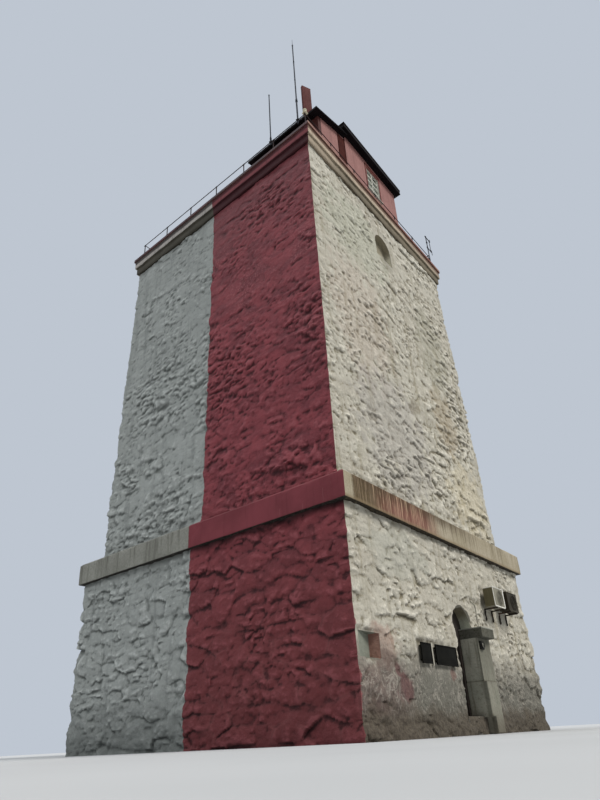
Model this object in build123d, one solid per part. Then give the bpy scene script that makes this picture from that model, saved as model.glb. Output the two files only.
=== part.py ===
from build123d import *
import math
import os

# A square lighthouse tower of painted rubble masonry, about 20 m to its deck,
# with a two-part lantern house, railings and aerials on top.
# Millimetres, +Z up. The origin is the centre of the tower's base.
# The part red, part white front faces -Y and the entrance faces +X.

os.makedirs("parts", exist_ok=True)

# Lower storey
lower_half = 5400
lower_wall = 1500
belt_bottom = 5166
belt_height = 714
belt_out = 170
belt_wash = 60

# Battered shaft above the belt course
shaft_set_back = 370
shaft_batter = 198
shaft_wall = 1300
shaft_height = 13200

# Cornice and deck
cornice_out = 173
cornice_height = 743
cornice_step_in = 70
cornice_step_height = 478
deck_plate_thick = 110
deck_plate_out = 30
deck_slab_thick = 343

# Doorway in the +X wall
door_mid = 120
door_width = 1200
door_spring = 2790
door_floor = 450
door_recess = 350
frame_depth = 110
frame_side = 80
lock_side = 30
leaf_height = 1990
leaf_thick = 50
leaf_gap = 8
stop_depth = 45

# Door hinges and handle
hinge_out = 20
hinge_side = 12
hinge_low = 250
hinge_spacing = 1360
knuckle_height = 130
knuckle_dia = 24
pin_dia = 12
pin_play = 0.05
seat_gap = 0.3
strap_length = 520
strap_width = 50
strap_thick = 10
handle_height = 1020
handle_in = 90

# Porch pier and canopy beside the door
pier_into_door = 200
pier_reach = 650
pier_out = 180
plinth_out = 90
plinth_side = 30
plinth_reach = 480
plinth_top = 1330
canopy_bottom = 2490
canopy_thick = 280
canopy_out = 180
lamp_drop = 200
lamp_dia = 240

# Niches
small_niche_in = 520
small_niche_width = 520
small_niche_sill = 1640
small_niche_height = 510
small_niche_depth = 220
blind_y = -225
blind_width = 1120
blind_drop = 2230
blind_side = 710
blind_depth = 330

# Lantern house on the deck
house_set_back = 685
house_width = 3470
house_wall = 200
high_back_in = 2080
high_depth = 4175
high_wall_height = 3877
high_roof_thick = 290
high_over_left = 230
high_over_right = 270
high_over_front = 370
high_over_back = 180
low_side_in = 45
low_depth = 1920
low_eave_height = 3137
low_roof_angle = 17.74
low_roof_thick = 100
low_over_left = 180
low_over_right = 225
low_over_front = 350

# Lantern house windows
window_width = 1020
window_height = 1500
window_sill_height = 2017
window_shift = 52
window_bar = 60
window_recess = 40
window_depth = 70
pane_thick = 6

# Railing
rail_set_back = 248
rail_bays = 6
rail_height = 957
wire_height = 487
post_dia = 42
rail_dia = 34
wire_dia = 14
foot_plate = 120
foot_thick = 12

# Aerials
mast_stand = 80
clamp_width = 130
clamp_height = 70
tall_in = 920
tall_pipe = 1210
tall_pipe_dia = 70
tall_whip = 4020
tall_whip_dia = 52
tall_tip = 430
short_in = 2420
short_whip = 3190
short_dia = 44
panel_width = 430
panel_depth = 130
panel_height = 1840
panel_lift = 490
panel_turn = 65
panel_in = 465
panel_forward = 10
pole_dia = 76
pole_stand = 75
loop_stand = 45
loop_width = 340
loop_height = 720
loop_lift = 1487
loop_dia = 20
loop_mast_dia = 34
corner_lamp_side = 170
corner_lamp_dia = 150
corner_lamp_height = 180

# Wall-hung things beside the entrance
unit_gap = 120
unit_depth = 330
unit_height = 610
unit_width = 830
unit_lift = 730
unit_from_door = 1030
unit_pitch = 1130
fan_dia = 480
fan_depth = 20
bracket_dia = 40
bracket_drop = 360
board_sill = 1640
board_height = 490
board_from_door = 310
board_wide = 1170
board_narrow = 510
board_space = 240
board_gap = 60
board_thick = 40

# Heights and faces that follow from the sizes
lower_inner = lower_half - lower_wall
belt_top = belt_bottom + belt_height
belt_half = lower_half + belt_out
shaft_bottom_half = lower_half - shaft_set_back
shaft_top_half = shaft_bottom_half - shaft_batter
shaft_inner = shaft_bottom_half - shaft_wall
shaft_top = belt_top + shaft_height
cornice_half = shaft_top_half + cornice_out
cornice_top = shaft_top + cornice_height
deck_top = cornice_top + deck_plate_thick
past = 2 * belt_half


def slab(x0, x1, y0, y1, z0, z1):
    """An upright block between two corners."""
    block = Box(x1 - x0, y1 - y0, z1 - z0)
    return Pos((x0 + x1) / 2, (y0 + y1) / 2, (z0 + z1) / 2) * block


def bar(start, end, dia, sides=8):
    """A slim bar of few flats from one point to another."""
    path = Vector(*end) - Vector(*start)
    plane = Plane(origin=start, z_dir=path)
    return extrude(plane * RegularPolygon(dia / 2, sides), path.length)


def post(x, y, z0, z1, dia, sides=8):
    """An upright bar of few flats."""
    return extrude(Pos(x, y, z0) * RegularPolygon(dia / 2, sides), z1 - z0)


def turned(x, y, z0, z1, dia):
    """An upright round pin or boss."""
    return Pos(x, y, (z0 + z1) / 2) * Cylinder(dia / 2, z1 - z0)


def arch_block(y_mid, width, sill, spring, x0, x1):
    """The solid that fills an arched opening running through along X."""
    straight = slab(x0, x1, y_mid - width / 2, y_mid + width / 2, sill, spring)
    round_head = Rot(0, 90, 0) * Cylinder(width / 2, x1 - x0)
    return straight + Pos((x0 + x1) / 2, y_mid, spring) * round_head


def half_turn(shape):
    return Rot(0, 0, 180) * shape


def save(shape, name):
    export_step(shape, f"parts/{name}.step")


# Lower storey: four thick plumb walls, the entrance wall in pieces round its doorway
door_y0 = door_mid - door_width / 2
door_y1 = door_mid + door_width / 2
ground_floor = slab(-lower_inner, lower_inner, -lower_inner, lower_inner, 0, door_floor)
ground_floor += slab(lower_inner, lower_half, door_y0, door_y1, 0, door_floor)
save(ground_floor, "ground_floor")

lower_front = slab(-lower_half, lower_half, -lower_half, -lower_inner, 0, belt_bottom)
small_niche_y = -lower_half + small_niche_in
small_niche = slab(
    lower_half - small_niche_depth, lower_half + small_niche_depth,
    small_niche_y, small_niche_y + small_niche_width,
    small_niche_sill, small_niche_sill + small_niche_height,
)
save(lower_front - small_niche, "lower_front_wall")
save(half_turn(lower_front), "lower_back_wall")
lower_left = slab(-lower_half, -lower_inner, -lower_inner, lower_inner, 0, belt_bottom)
save(lower_left, "lower_left_wall")
lower_near = slab(lower_inner, lower_half, -lower_inner, door_y0, 0, belt_bottom)
save(lower_near, "lower_right_wall_near")
lower_far = slab(lower_inner, lower_half, door_y1, lower_inner, 0, belt_bottom)
save(lower_far, "lower_right_wall_far")
over_door = slab(lower_inner, lower_half, door_y0, door_y1, door_spring, belt_bottom)
doorway = arch_block(
    door_mid, door_width, door_floor, door_spring, lower_inner - door_recess, past
)
save(over_door - doorway, "entrance_arch")

# Belt course: four runs of broad smooth stones, weathered on top towards the shaft
course = extrude(Pos(0, 0, belt_bottom) * Rectangle(2 * belt_half, 2 * belt_half), belt_height)
course = chamfer(course.faces().sort_by(Axis.Z)[-1].edges(), belt_wash)
front_run = slab(-past, past, -past, -lower_inner, belt_bottom, belt_top)
side_run = slab(-past, -lower_inner, -lower_inner, lower_inner, belt_bottom, belt_top)
save(course & front_run, "belt_front")
save(course & half_turn(front_run), "belt_back")
save(course & side_run, "belt_left")
save(course & half_turn(side_run), "belt_right")

# Shaft: four walls battered outside and plumb inside, a blind arched niche in two of them
shaft_low = Pos(0, 0, belt_top) * Rectangle(2 * shaft_bottom_half, 2 * shaft_bottom_half)
shaft_high = Pos(0, 0, shaft_top) * Rectangle(2 * shaft_top_half, 2 * shaft_top_half)
shaft = loft([shaft_low, shaft_high])
front_cut = slab(-past, past, -past, -shaft_inner, belt_top, shaft_top)
side_cut = slab(-past, -shaft_inner, -shaft_inner, shaft_inner, belt_top, shaft_top)
save(shaft & front_cut, "shaft_front_wall")
save(shaft & half_turn(front_cut), "shaft_back_wall")
blind_sill = shaft_top - blind_drop
blind_spring = blind_sill + blind_side
blind_face = shaft_top_half + shaft_batter * (shaft_top - blind_spring) / shaft_height
blind = arch_block(
    blind_y, blind_width, blind_sill, blind_spring, blind_face - blind_depth, past
)
save((shaft & half_turn(side_cut)) - blind, "shaft_right_wall")
save((shaft & side_cut) - half_turn(blind), "shaft_left_wall")

# Cornice: a stepped course of pale stone under the deck, and the slab it frames
step_half = cornice_half - cornice_step_in
step_top = shaft_top + cornice_step_height
cornice = extrude(Pos(0, 0, shaft_top) * Rectangle(2 * step_half, 2 * step_half), step_top - shaft_top)
cornice += extrude(
    Pos(0, 0, step_top) * Rectangle(2 * cornice_half, 2 * cornice_half), cornice_top - step_top
)
cornice_front = slab(-past, past, -past, -shaft_inner, shaft_top, cornice_top)
cornice_side = slab(-past, -shaft_inner, -shaft_inner, shaft_inner, shaft_top, cornice_top)
save(cornice & cornice_front, "cornice_front")
save(cornice & half_turn(cornice_front), "cornice_back")
save(cornice & cornice_side, "cornice_left")
save(cornice & half_turn(cornice_side), "cornice_right")
deck_slab = slab(
    -shaft_inner, shaft_inner, -shaft_inner, shaft_inner, cornice_top - deck_slab_thick, cornice_top
)
save(deck_slab, "deck_slab")
plate_half = cornice_half + deck_plate_out
deck_covering = slab(-plate_half, plate_half, -plate_half, plate_half, cornice_top, deck_top)
save(deck_covering, "deck_covering")

# Railing: posts on foot plates, a top rail and a wire, one panel to a side
rail_half = cornice_half - rail_set_back
rail_top = deck_top + rail_height
wire_z = deck_top + wire_height
bay = 2 * rail_half / rail_bays


def railing_panel(first, last):
    """One side of the railing along X, at y = -rail_half."""
    panel = bar((-rail_half, -rail_half, rail_top), (rail_half, -rail_half, rail_top), rail_dia)
    panel += bar((-rail_half, -rail_half, wire_z), (rail_half, -rail_half, wire_z), wire_dia, 6)
    for step in range(first, last):
        x = -rail_half + step * bay
        panel += post(x, -rail_half, deck_top, rail_top, post_dia)
        panel += slab(
            x - foot_plate / 2, x + foot_plate / 2,
            -rail_half - foot_plate / 2, -rail_half + foot_plate / 2,
            deck_top, deck_top + foot_thick,
        )
    return panel


long_panel = railing_panel(0, rail_bays + 1)
side_panel = Rot(0, 0, 90) * railing_panel(1, rail_bays)
side_panel -= long_panel + half_turn(long_panel)
save(long_panel, "railing_front")
save(half_turn(long_panel), "railing_back")
save(side_panel, "railing_right")
save(half_turn(side_panel), "railing_left")

# Lantern house, high rear room under a flat roof with a window in each open side
high_x1 = cornice_half - house_set_back
house_x0 = high_x1 - house_width
high_y1 = cornice_half - high_back_in
high_y0 = high_y1 - high_depth
wall_top = deck_top + high_wall_height
inner_y0 = high_y0 + house_wall
inner_y1 = high_y1 - house_wall
high_front = slab(house_x0, high_x1, high_y0, inner_y0, deck_top, wall_top)
high_back = slab(house_x0, high_x1, inner_y1, high_y1, deck_top, wall_top)
high_right = slab(high_x1 - house_wall, high_x1, inner_y0, inner_y1, deck_top, wall_top)
high_left = slab(house_x0, house_x0 + house_wall, inner_y0, inner_y1, deck_top, wall_top)
window_y = (high_y0 + high_y1) / 2 + window_shift
window_x = (house_x0 + high_x1) / 2
window_z = deck_top + window_sill_height + window_height / 2
right_hole = Pos(high_x1, window_y, window_z) * Box(3 * house_wall, window_width, window_height)
left_hole = Pos(house_x0, window_y, window_z) * Box(3 * house_wall, window_width, window_height)
back_hole = Pos(window_x, high_y1, window_z) * Box(window_width, 3 * house_wall, window_height)
save(high_front, "high_house_front_wall")
save(high_right - right_hole, "high_house_right_wall")
save(high_left - left_hole, "high_house_left_wall")
save(high_back - back_hole, "high_house_back_wall")
high_roof = slab(
    house_x0 - high_over_left, high_x1 + high_over_right,
    high_y0 - high_over_front, high_y1 + high_over_back,
    wall_top, wall_top + high_roof_thick,
)
save(high_roof, "high_house_roof")

# Lantern house, low front room under a lean-to roof against the high one
low_x1 = high_x1 - low_side_in
low_y0 = high_y0 - low_depth
eave_y = low_y0 - low_over_front
eave_z = deck_top + low_eave_height
low_roof_rise = math.tan(math.radians(low_roof_angle))


def low_roof_z(y):
    """Height of the top of the lean-to roof at one depth."""
    return eave_z + (y - eave_y) * low_roof_rise


roof_edge = [
    (eave_y, eave_z),
    (high_y0, low_roof_z(high_y0)),
    (high_y0, low_roof_z(high_y0) - low_roof_thick),
    (eave_y, eave_z - low_roof_thick),
]
roof_start = house_x0 - low_over_left
roof_end = low_x1 + low_over_right
roof_face = make_face(Plane.YZ.offset(roof_start) * Polyline(*roof_edge, close=True))
low_roof = extrude(roof_face, roof_end - roof_start, dir=(1, 0, 0))
save(low_roof, "low_house_roof")

room_edge = [
    (low_y0, deck_top),
    (high_y0, deck_top),
    (high_y0, low_roof_z(high_y0) - low_roof_thick),
    (low_y0, low_roof_z(low_y0) - low_roof_thick),
]
room_face = make_face(Plane.YZ.offset(house_x0) * Polyline(*room_edge, close=True))
room = extrude(room_face, low_x1 - house_x0, dir=(1, 0, 0))
low_inner_y = low_y0 + house_wall
save(room & slab(-past, past, low_y0, low_inner_y, 0, wall_top), "low_house_front_wall")
right_slice = slab(low_x1 - house_wall, low_x1, low_inner_y, high_y0, 0, wall_top)
left_slice = slab(house_x0, house_x0 + house_wall, low_inner_y, high_y0, 0, wall_top)
save(room & right_slice, "low_house_right_wall")
save(room & left_slice, "low_house_left_wall")

# Window frames with their bars, and the panes bedded against them
frame = Box(window_depth, window_width, window_height)
light_y = (window_width - 3 * window_bar) / 2
light_z = (window_height - 5 * window_bar) / 4
for column in (-1, 1):
    for row in range(4):
        y = column * (light_y + window_bar) / 2
        z = (row - 1.5) * (light_z + window_bar)
        frame -= Pos(0, y, z) * Box(2 * window_depth, light_y, light_z)
pane = Pos(-window_depth / 2 - pane_thick / 2, 0, 0) * Box(pane_thick, window_width, window_height)
inset = window_recess + window_depth / 2
places = (
    Pos(high_x1 - inset, window_y, window_z),
    Pos(house_x0 + inset, window_y, window_z) * Rot(0, 0, 180),
    Pos(window_x, high_y1 - inset, window_z) * Rot(0, 0, 90),
)
save(Compound([place * frame for place in places]), "window_frames")
save(Compound([place * pane for place in places]), "window_glass")

# Two whip aerials held to the front eave by clamps
mast_y = eave_y - mast_stand
clamp_z = eave_z - low_roof_thick + 15


def eave_clamp(x):
    """The block that holds a mast to the eave."""
    return slab(
        x - clamp_width / 2, x + clamp_width / 2, mast_y, eave_y, clamp_z, clamp_z + clamp_height
    )


tall_x = roof_end - tall_in
collar_z = eave_z + tall_pipe
tall = post(tall_x, mast_y, clamp_z - 3 * clamp_height, collar_z, tall_pipe_dia, 12)
tall += post(tall_x, mast_y, collar_z - clamp_height, collar_z + clamp_height, 2 * tall_whip_dia, 12)
tall += post(tall_x, mast_y, collar_z, collar_z + tall_whip, tall_whip_dia, 10)
tall += post(tall_x, mast_y, collar_z + tall_whip, collar_z + tall_whip + tall_tip, wire_dia, 6)
tall += eave_clamp(tall_x)
short_x = roof_end - short_in
short = post(short_x, mast_y, clamp_z - 2 * clamp_height, eave_z + short_whip, short_dia, 10)
short += post(short_x, mast_y, clamp_z - clamp_height, clamp_z + 4 * clamp_height, 2 * short_dia, 12)
short += eave_clamp(short_x)
save(Compound([tall, short]), "whip_aerials")

# Flat panel aerial on a pole that stands on the lean-to roof, turned out of the tower's axes
panel_x = low_x1 - panel_in
panel_y = low_y0 - panel_forward
panel_z = eave_z + panel_lift
pole_shift = -panel_depth / 2 - pole_stand
panel = Pos(0, 0, panel_height / 2) * Box(panel_depth, panel_width, panel_height)
panel = fillet(panel.edges().filter_by(Axis.Z), panel_depth / 4)
pole = post(pole_shift, 0, -3 * panel_lift, 0.85 * panel_height, pole_dia, 12)
for level in (0.15, 0.75):
    pole += Pos(pole_shift / 2 - panel_depth / 4, 0, level * panel_height) * Box(
        pole_stand, pole_dia, pole_dia
    )
panel_place = Pos(panel_x, panel_y, panel_z) * Rot(0, 0, panel_turn - 90)
above_roof = make_face(
    Plane.YZ.offset(roof_start)
    * Polyline(
        (eave_y, eave_z), (high_y0, low_roof_z(high_y0)),
        (high_y0, eave_z + 2 * panel_height), (eave_y, eave_z + 2 * panel_height), close=True,
    )
)
above_roof = extrude(above_roof, roof_end - roof_start, dir=(1, 0, 0))
save(panel_place * panel, "panel_aerial")
save((panel_place * pole) & above_roof, "panel_pole")

# Folded loop aerial clamped to the far corner post of the railing
loop_x = rail_half + loop_stand
loop_z = deck_top + loop_lift
loop = post(loop_x, loop_x, wire_z - foot_plate, loop_z + loop_height + clamp_height, loop_mast_dia)
for z in (loop_z, loop_z + loop_height):
    loop += bar((loop_x, loop_x, z), (loop_x, loop_x + loop_width, z), loop_dia)
far_side = loop_x + loop_width
loop_foot = (loop_x, far_side, loop_z - loop_dia)
loop_head = (loop_x, far_side, loop_z + loop_height + loop_dia)
loop += bar(loop_foot, loop_head, loop_dia)
clamp_level = (wire_z + rail_top) / 2
loop_clamp = slab(rail_half, loop_x, rail_half, loop_x, clamp_level, clamp_level + clamp_height)
loop_clamp -= post(rail_half, rail_half, deck_top, rail_top, post_dia)
save(loop + loop_clamp, "loop_aerial")

# Pale lamp housing on the front corner of the railing
lamp_foot = rail_top + rail_dia / 2
corner_lamp = slab(
    rail_half - corner_lamp_side / 2, rail_half + corner_lamp_side / 2,
    -rail_half - corner_lamp_side / 2, -rail_half + corner_lamp_side / 2,
    lamp_foot, lamp_foot + clamp_height,
)
corner_lamp += post(
    rail_half, -rail_half, lamp_foot + clamp_height,
    lamp_foot + clamp_height + corner_lamp_height, corner_lamp_dia, 16,
)
save(corner_lamp, "corner_lamp")

# Entrance frame: an arched wooden head over a rebated opening, with the hinge pins
frame_outer = lower_half - door_recess
frame_inner = frame_outer - frame_depth
pier_y0 = door_y1 - pier_into_door
plinth_y0 = pier_y0 - plinth_side
leaf_y0 = door_y0 + frame_side
leaf_y1 = plinth_y0 - lock_side
leaf_top = door_floor + leaf_height
door_frame = arch_block(door_mid, door_width, door_floor, door_spring, frame_inner, frame_outer)
door_frame -= slab(
    0, past, leaf_y0 + stop_depth, leaf_y1 - stop_depth, 0, leaf_top - stop_depth
)
door_frame -= slab(
    0, frame_inner + leaf_thick + leaf_gap,
    leaf_y0 - leaf_gap, leaf_y1 + leaf_gap, 0, leaf_top + leaf_gap,
)
hinge_x = frame_inner - hinge_out
hinge_y = leaf_y0 - hinge_side
hinge_levels = (door_floor + hinge_low, door_floor + hinge_low + hinge_spacing)
boss_dia = knuckle_dia - 4
for z in hinge_levels:
    door_frame += turned(hinge_x, hinge_y, z - 2 * knuckle_dia, z + knuckle_height, pin_dia)
    door_frame += turned(hinge_x, hinge_y, z - 2 * knuckle_dia, z - seat_gap, boss_dia)
    door_frame += slab(
        hinge_x - boss_dia / 2, frame_inner + strap_thick, (door_y0 + hinge_y) / 2, hinge_y,
        z - 2 * knuckle_dia, z - seat_gap,
    ) - slab(frame_inner, past, leaf_y0 - leaf_gap, leaf_y1, 0, leaf_top)
save(door_frame, "door_frame")

# Door leaf, opening inward on its left edge
leaf = slab(
    frame_inner, frame_inner + leaf_thick, leaf_y0, leaf_y1, door_floor + leaf_gap, leaf_top
)
save(leaf, "door_leaf")
fittings = []
for z in hinge_levels:
    middle = z + knuckle_height / 2
    strap = turned(hinge_x, hinge_y, z, z + knuckle_height, knuckle_dia)
    strap += slab(
        frame_inner - strap_thick, frame_inner, hinge_y, leaf_y0 + strap_length,
        middle - strap_width / 2, middle + strap_width / 2,
    )
    strap += slab(
        hinge_x, frame_inner, hinge_y, leaf_y0, middle - strap_width / 2, middle + strap_width / 2
    )
    strap -= turned(hinge_x, hinge_y, z, z + knuckle_height, pin_dia + 2 * pin_play)
    fittings.append(strap)
leaf_face = frame_inner + leaf_thick
handle_y = leaf_y1 - handle_in
handle_z = door_floor + handle_height
lever_x = leaf_face + 3 * pin_dia
handle = slab(
    leaf_face, leaf_face + strap_thick, handle_y - strap_width / 2, handle_y + strap_width / 2,
    handle_z - 2 * strap_width, handle_z + 2 * strap_width,
)
handle += bar((leaf_face, handle_y, handle_z), (lever_x, handle_y, handle_z), 1.5 * pin_dia)
handle += bar(
    (lever_x, handle_y + pin_dia, handle_z), (lever_x, handle_y - 3 * strap_width, handle_z), pin_dia
)
fittings.append(handle)
save(Compound(fittings), "door_fittings")

# Pier on its plinth along the far side of the doorway, and the canopy slab that it carries
pier_face = lower_half + pier_out
plinth_face = pier_face + plinth_out
pier_y1 = door_y1 + pier_reach
pier = slab(frame_outer, pier_face, pier_y0, door_y1, plinth_top, canopy_bottom)
pier += slab(lower_half, pier_face, door_y1, pier_y1, plinth_top, canopy_bottom)
pier += slab(frame_outer, plinth_face, plinth_y0, door_y1, door_floor, plinth_top)
pier += slab(lower_half, plinth_face, plinth_y0, door_y1 + plinth_reach, 0, plinth_top)
save(pier, "entrance_pier")
canopy_top = canopy_bottom + canopy_thick
canopy = slab(frame_outer, pier_face + canopy_out, pier_y0, door_y1, canopy_bottom, canopy_top)
canopy += slab(lower_half, pier_face + canopy_out, door_y1, pier_y1, canopy_bottom, canopy_top)
save(canopy, "entrance_canopy")
lamp_place = Pos(pier_face, pier_y0 + pier_into_door, canopy_bottom - lamp_drop)
lamp_place *= Rot(0, 90, 0)
lamp = lamp_place * extrude(RegularPolygon(lamp_dia / 2, 16), lamp_dia / 4)
lamp += lamp_place * extrude(
    Pos(0, 0, lamp_dia / 4) * RegularPolygon(0.4 * lamp_dia, 16), lamp_dia / 5, taper=20
)
save(lamp, "entrance_lamp")

# Two notice boards on battens, left blank
board_end = door_y0 - board_from_door
spans = (
    (board_end - board_wide, board_end),
    (board_end - board_wide - board_space - board_narrow, board_end - board_wide - board_space),
)
board_top = board_sill + board_height
boards = []
for y0, y1 in spans:
    board = slab(
        lower_half + board_gap, lower_half + board_gap + board_thick, y0, y1, board_sill, board_top
    )
    for z in (board_sill + board_gap, board_top - board_gap - board_thick):
        board += slab(lower_half, lower_half + board_gap, y0 + board_gap, y1 - board_gap, z, z + board_thick)
    boards.append(board)
save(Compound(boards), "notice_boards")

# Two cooling units on wall brackets above the canopy
unit_x0 = lower_half + unit_gap
unit_x1 = unit_x0 + unit_depth
unit_z = canopy_top + unit_lift
units = []
brackets = []
for number in range(2):
    y = door_y1 + unit_from_door + number * unit_pitch
    unit = slab(unit_x0, unit_x1, y, y + unit_width, unit_z, unit_z + unit_height)
    unit = fillet(unit.edges().filter_by(Axis.Z), fan_depth)
    fan = Pos(unit_x1, y + 0.6 * unit_width, unit_z + unit_height / 2) * Rot(0, 90, 0)
    unit -= fan * extrude(RegularPolygon(fan_dia / 2, 24), fan_depth, both=True)
    units.append(unit)
    for bracket_y in (y + 0.15 * unit_width, y + 0.85 * unit_width - bracket_dia):
        arm = slab(lower_half, unit_x1, bracket_y, bracket_y + bracket_dia, unit_z - bracket_dia, unit_z)
        arm += slab(
            lower_half, lower_half + bracket_dia, bracket_y, bracket_y + bracket_dia,
            unit_z - bracket_drop, unit_z,
        )
        brackets.append(arm)
save(Compound(units), "cooling_units")
save(Compound(brackets), "cooling_brackets")
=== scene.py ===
import math

import bpy
import numpy as np
from mathutils import Matrix, Vector


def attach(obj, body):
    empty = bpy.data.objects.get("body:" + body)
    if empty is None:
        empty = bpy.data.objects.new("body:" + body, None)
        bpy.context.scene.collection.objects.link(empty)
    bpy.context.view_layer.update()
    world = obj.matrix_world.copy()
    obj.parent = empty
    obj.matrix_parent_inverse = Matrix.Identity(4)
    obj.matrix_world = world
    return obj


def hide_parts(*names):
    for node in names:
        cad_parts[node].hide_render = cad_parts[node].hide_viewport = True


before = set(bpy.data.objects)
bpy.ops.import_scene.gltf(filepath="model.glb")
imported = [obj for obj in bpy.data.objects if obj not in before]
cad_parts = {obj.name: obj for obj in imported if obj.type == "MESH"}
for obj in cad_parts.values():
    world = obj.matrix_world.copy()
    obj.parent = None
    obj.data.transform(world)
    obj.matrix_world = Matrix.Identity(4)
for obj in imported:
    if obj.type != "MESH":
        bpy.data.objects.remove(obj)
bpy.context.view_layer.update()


# The viewpoint
# A wide lens close to the foot of the tower, turned up and a little over to one side.
bpy.ops.object.camera_add(location=(12.548, -16.069, 0.12))
viewer = bpy.context.object
viewer.name = "viewpoint"
turn, climb, lean = [math.radians(angle) for angle in (38.16, 26.34, -3.10)]
ahead = Vector((-math.sin(turn) * math.cos(climb), math.cos(turn) * math.cos(climb), math.sin(climb)))
level = Vector((math.cos(turn), math.sin(turn), 0))
upward = level.cross(ahead)
across = math.cos(lean) * level + math.sin(lean) * upward
above = -math.sin(lean) * level + math.cos(lean) * upward
look = Matrix((across, above, -ahead)).transposed().to_4x4()
viewer.matrix_world = Matrix.Translation(viewer.location) @ look
viewer.data.lens = 26.07
viewer.data.sensor_width = 36
viewer.data.shift_y = 0.0655
viewer.data.clip_end = 400
bpy.context.scene.camera = viewer


# Light and floor
# A cloudy day: bright and warm on the entrance side, shade on the front, with some light from
# every side. The floor and the sky behind are plain and pale.
def srgb(red, green, blue):
    """A colour as it is seen, from 0 to 255, as the numbers that the shaders work with."""
    return tuple((c / 12.92 if c <= 0.04045 else ((c + 0.055) / 1.055) ** 2.4)
                 for c in (red / 255, green / 255, blue / 255)) + (1.0,)


class Reading:
    """A value in a material's nodes, which can be added, multiplied and compared like a number."""

    def __init__(self, finish, socket):
        self.finish, self.socket = finish, socket

    def math(self, operation, other=0.0, turned=False):
        a, b = (other, self) if turned else (self, other)
        return self.finish.node("ShaderNodeMath", {"operation": operation}, {0: a, 1: b})

    def __add__(self, other):
        return self.math("ADD", other)

    def __sub__(self, other):
        return self.math("SUBTRACT", other)

    def __rsub__(self, other):
        return self.math("SUBTRACT", other, turned=True)

    def __mul__(self, other):
        return self.math("MULTIPLY", other)

    def __truediv__(self, other):
        return self.math("DIVIDE", other)

    def __gt__(self, other):
        return self.math("GREATER_THAN", other)

    def __lt__(self, other):
        return self.math("LESS_THAN", other)

    def __abs__(self):
        return self.math("ABSOLUTE")

    def most(self, other):
        return self.math("MAXIMUM", other)

    def between(self, start, end):
        """0 up to start, 1 from end, and a soft slope in between."""
        return self.finish.node("ShaderNodeMapRange", {"interpolation_type": "SMOOTHSTEP"},
                                {"Value": self, "From Min": start, "From Max": end})

    __radd__ = __add__
    __rmul__ = __mul__


class Finish:
    """One finish of the tower: a material and the readings that its colour and relief come from."""

    def __init__(self, name, roughness=0.8, metallic=0.0, gloss=0.5):
        self.material = bpy.data.materials.new(name)
        self.material.use_nodes = True
        self.tree = self.material.node_tree
        self.shader = self.tree.nodes["Principled BSDF"]
        self.set(Roughness=roughness, Metallic=metallic, Specular_IOR_Level=gloss)
        self.at = self.node("ShaderNodeTexCoord", out="Object")

    def node(self, kind, settings=None, sockets=None, out=0):
        made = self.tree.nodes.new(kind)
        for key, value in (settings or {}).items():
            if key == "stops":
                while len(made.color_ramp.elements) < len(value):
                    made.color_ramp.elements.new(0.5)
                for element, (place, colour) in zip(made.color_ramp.elements, value):
                    element.position, element.color = place, colour
            else:
                setattr(made, key, value)
        for key, value in (sockets or {}).items():
            self.join(value, made.inputs[key])
        return Reading(self, made.outputs[out])

    def join(self, value, socket):
        if isinstance(value, Reading):
            self.tree.links.new(value.socket, socket)
        else:
            socket.default_value = value

    def set(self, **values):
        for key, value in values.items():
            self.join(value, self.shader.inputs[key.replace("_", " ")])

    def axes(self):
        return [self.node("ShaderNodeSeparateXYZ", None, {0: self.at}, out) for out in (0, 1, 2)]

    def noise(self, scale, detail=3.0, stretch=(1, 1, 1), shift=(0, 0, 0), rough=0.5, twist=0.0):
        """Cloudy noise around 0.5; scale is how many clouds there are to a metre."""
        place = self.node("ShaderNodeMapping", None, {"Vector": self.at, "Scale": stretch, "Location": shift})
        return self.node("ShaderNodeTexNoise", None, {
            "Vector": place, "Scale": scale, "Detail": detail, "Roughness": rough, "Distortion": twist})

    def mix(self, share, first, second):
        """The second colour over the first. Each comes from nodes, or is given as it is seen."""
        first, second = [srgb(*colour) if isinstance(colour, tuple) and len(colour) == 3 else colour
                         for colour in (first, second)]
        return self.node("ShaderNodeMix", {"data_type": "RGBA"}, {0: share, 6: first, 7: second}, 2)

    def coats(self, colour, *layers):
        """A colour with others laid over it in turn, each with its share of the surface."""
        for share, tint in layers:
            colour = self.mix(share, colour, tint)
        return colour

    def relief(self, height, depth, strength=1.0):
        """Bump: height 1 stands this many metres above height 0."""
        self.set(Normal=self.node("ShaderNodeBump", None, {
            "Height": height, "Distance": depth, "Strength": strength}))


def sunlight(name, source, strength, spread, colour):
    bpy.ops.object.light_add(type="SUN", location=source)
    lamp = bpy.context.object
    lamp.name = name
    lamp.rotation_mode = "QUATERNION"
    lamp.rotation_quaternion = Vector(source).to_track_quat("Z", "Y")
    lamp.data.energy, lamp.data.angle, lamp.data.color = strength, math.radians(spread), colour


sunlight("light_entrance_side", (30, 7, 34), 2.65, 30, (1.0, 0.975, 0.93))
sunlight("light_front", (-8, -18, 34), 1.08, 40, (0.97, 0.99, 1.0))
sunlight("light_back", (-26, 24, 30), 0.9, 60, (0.97, 0.99, 1.0))

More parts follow.
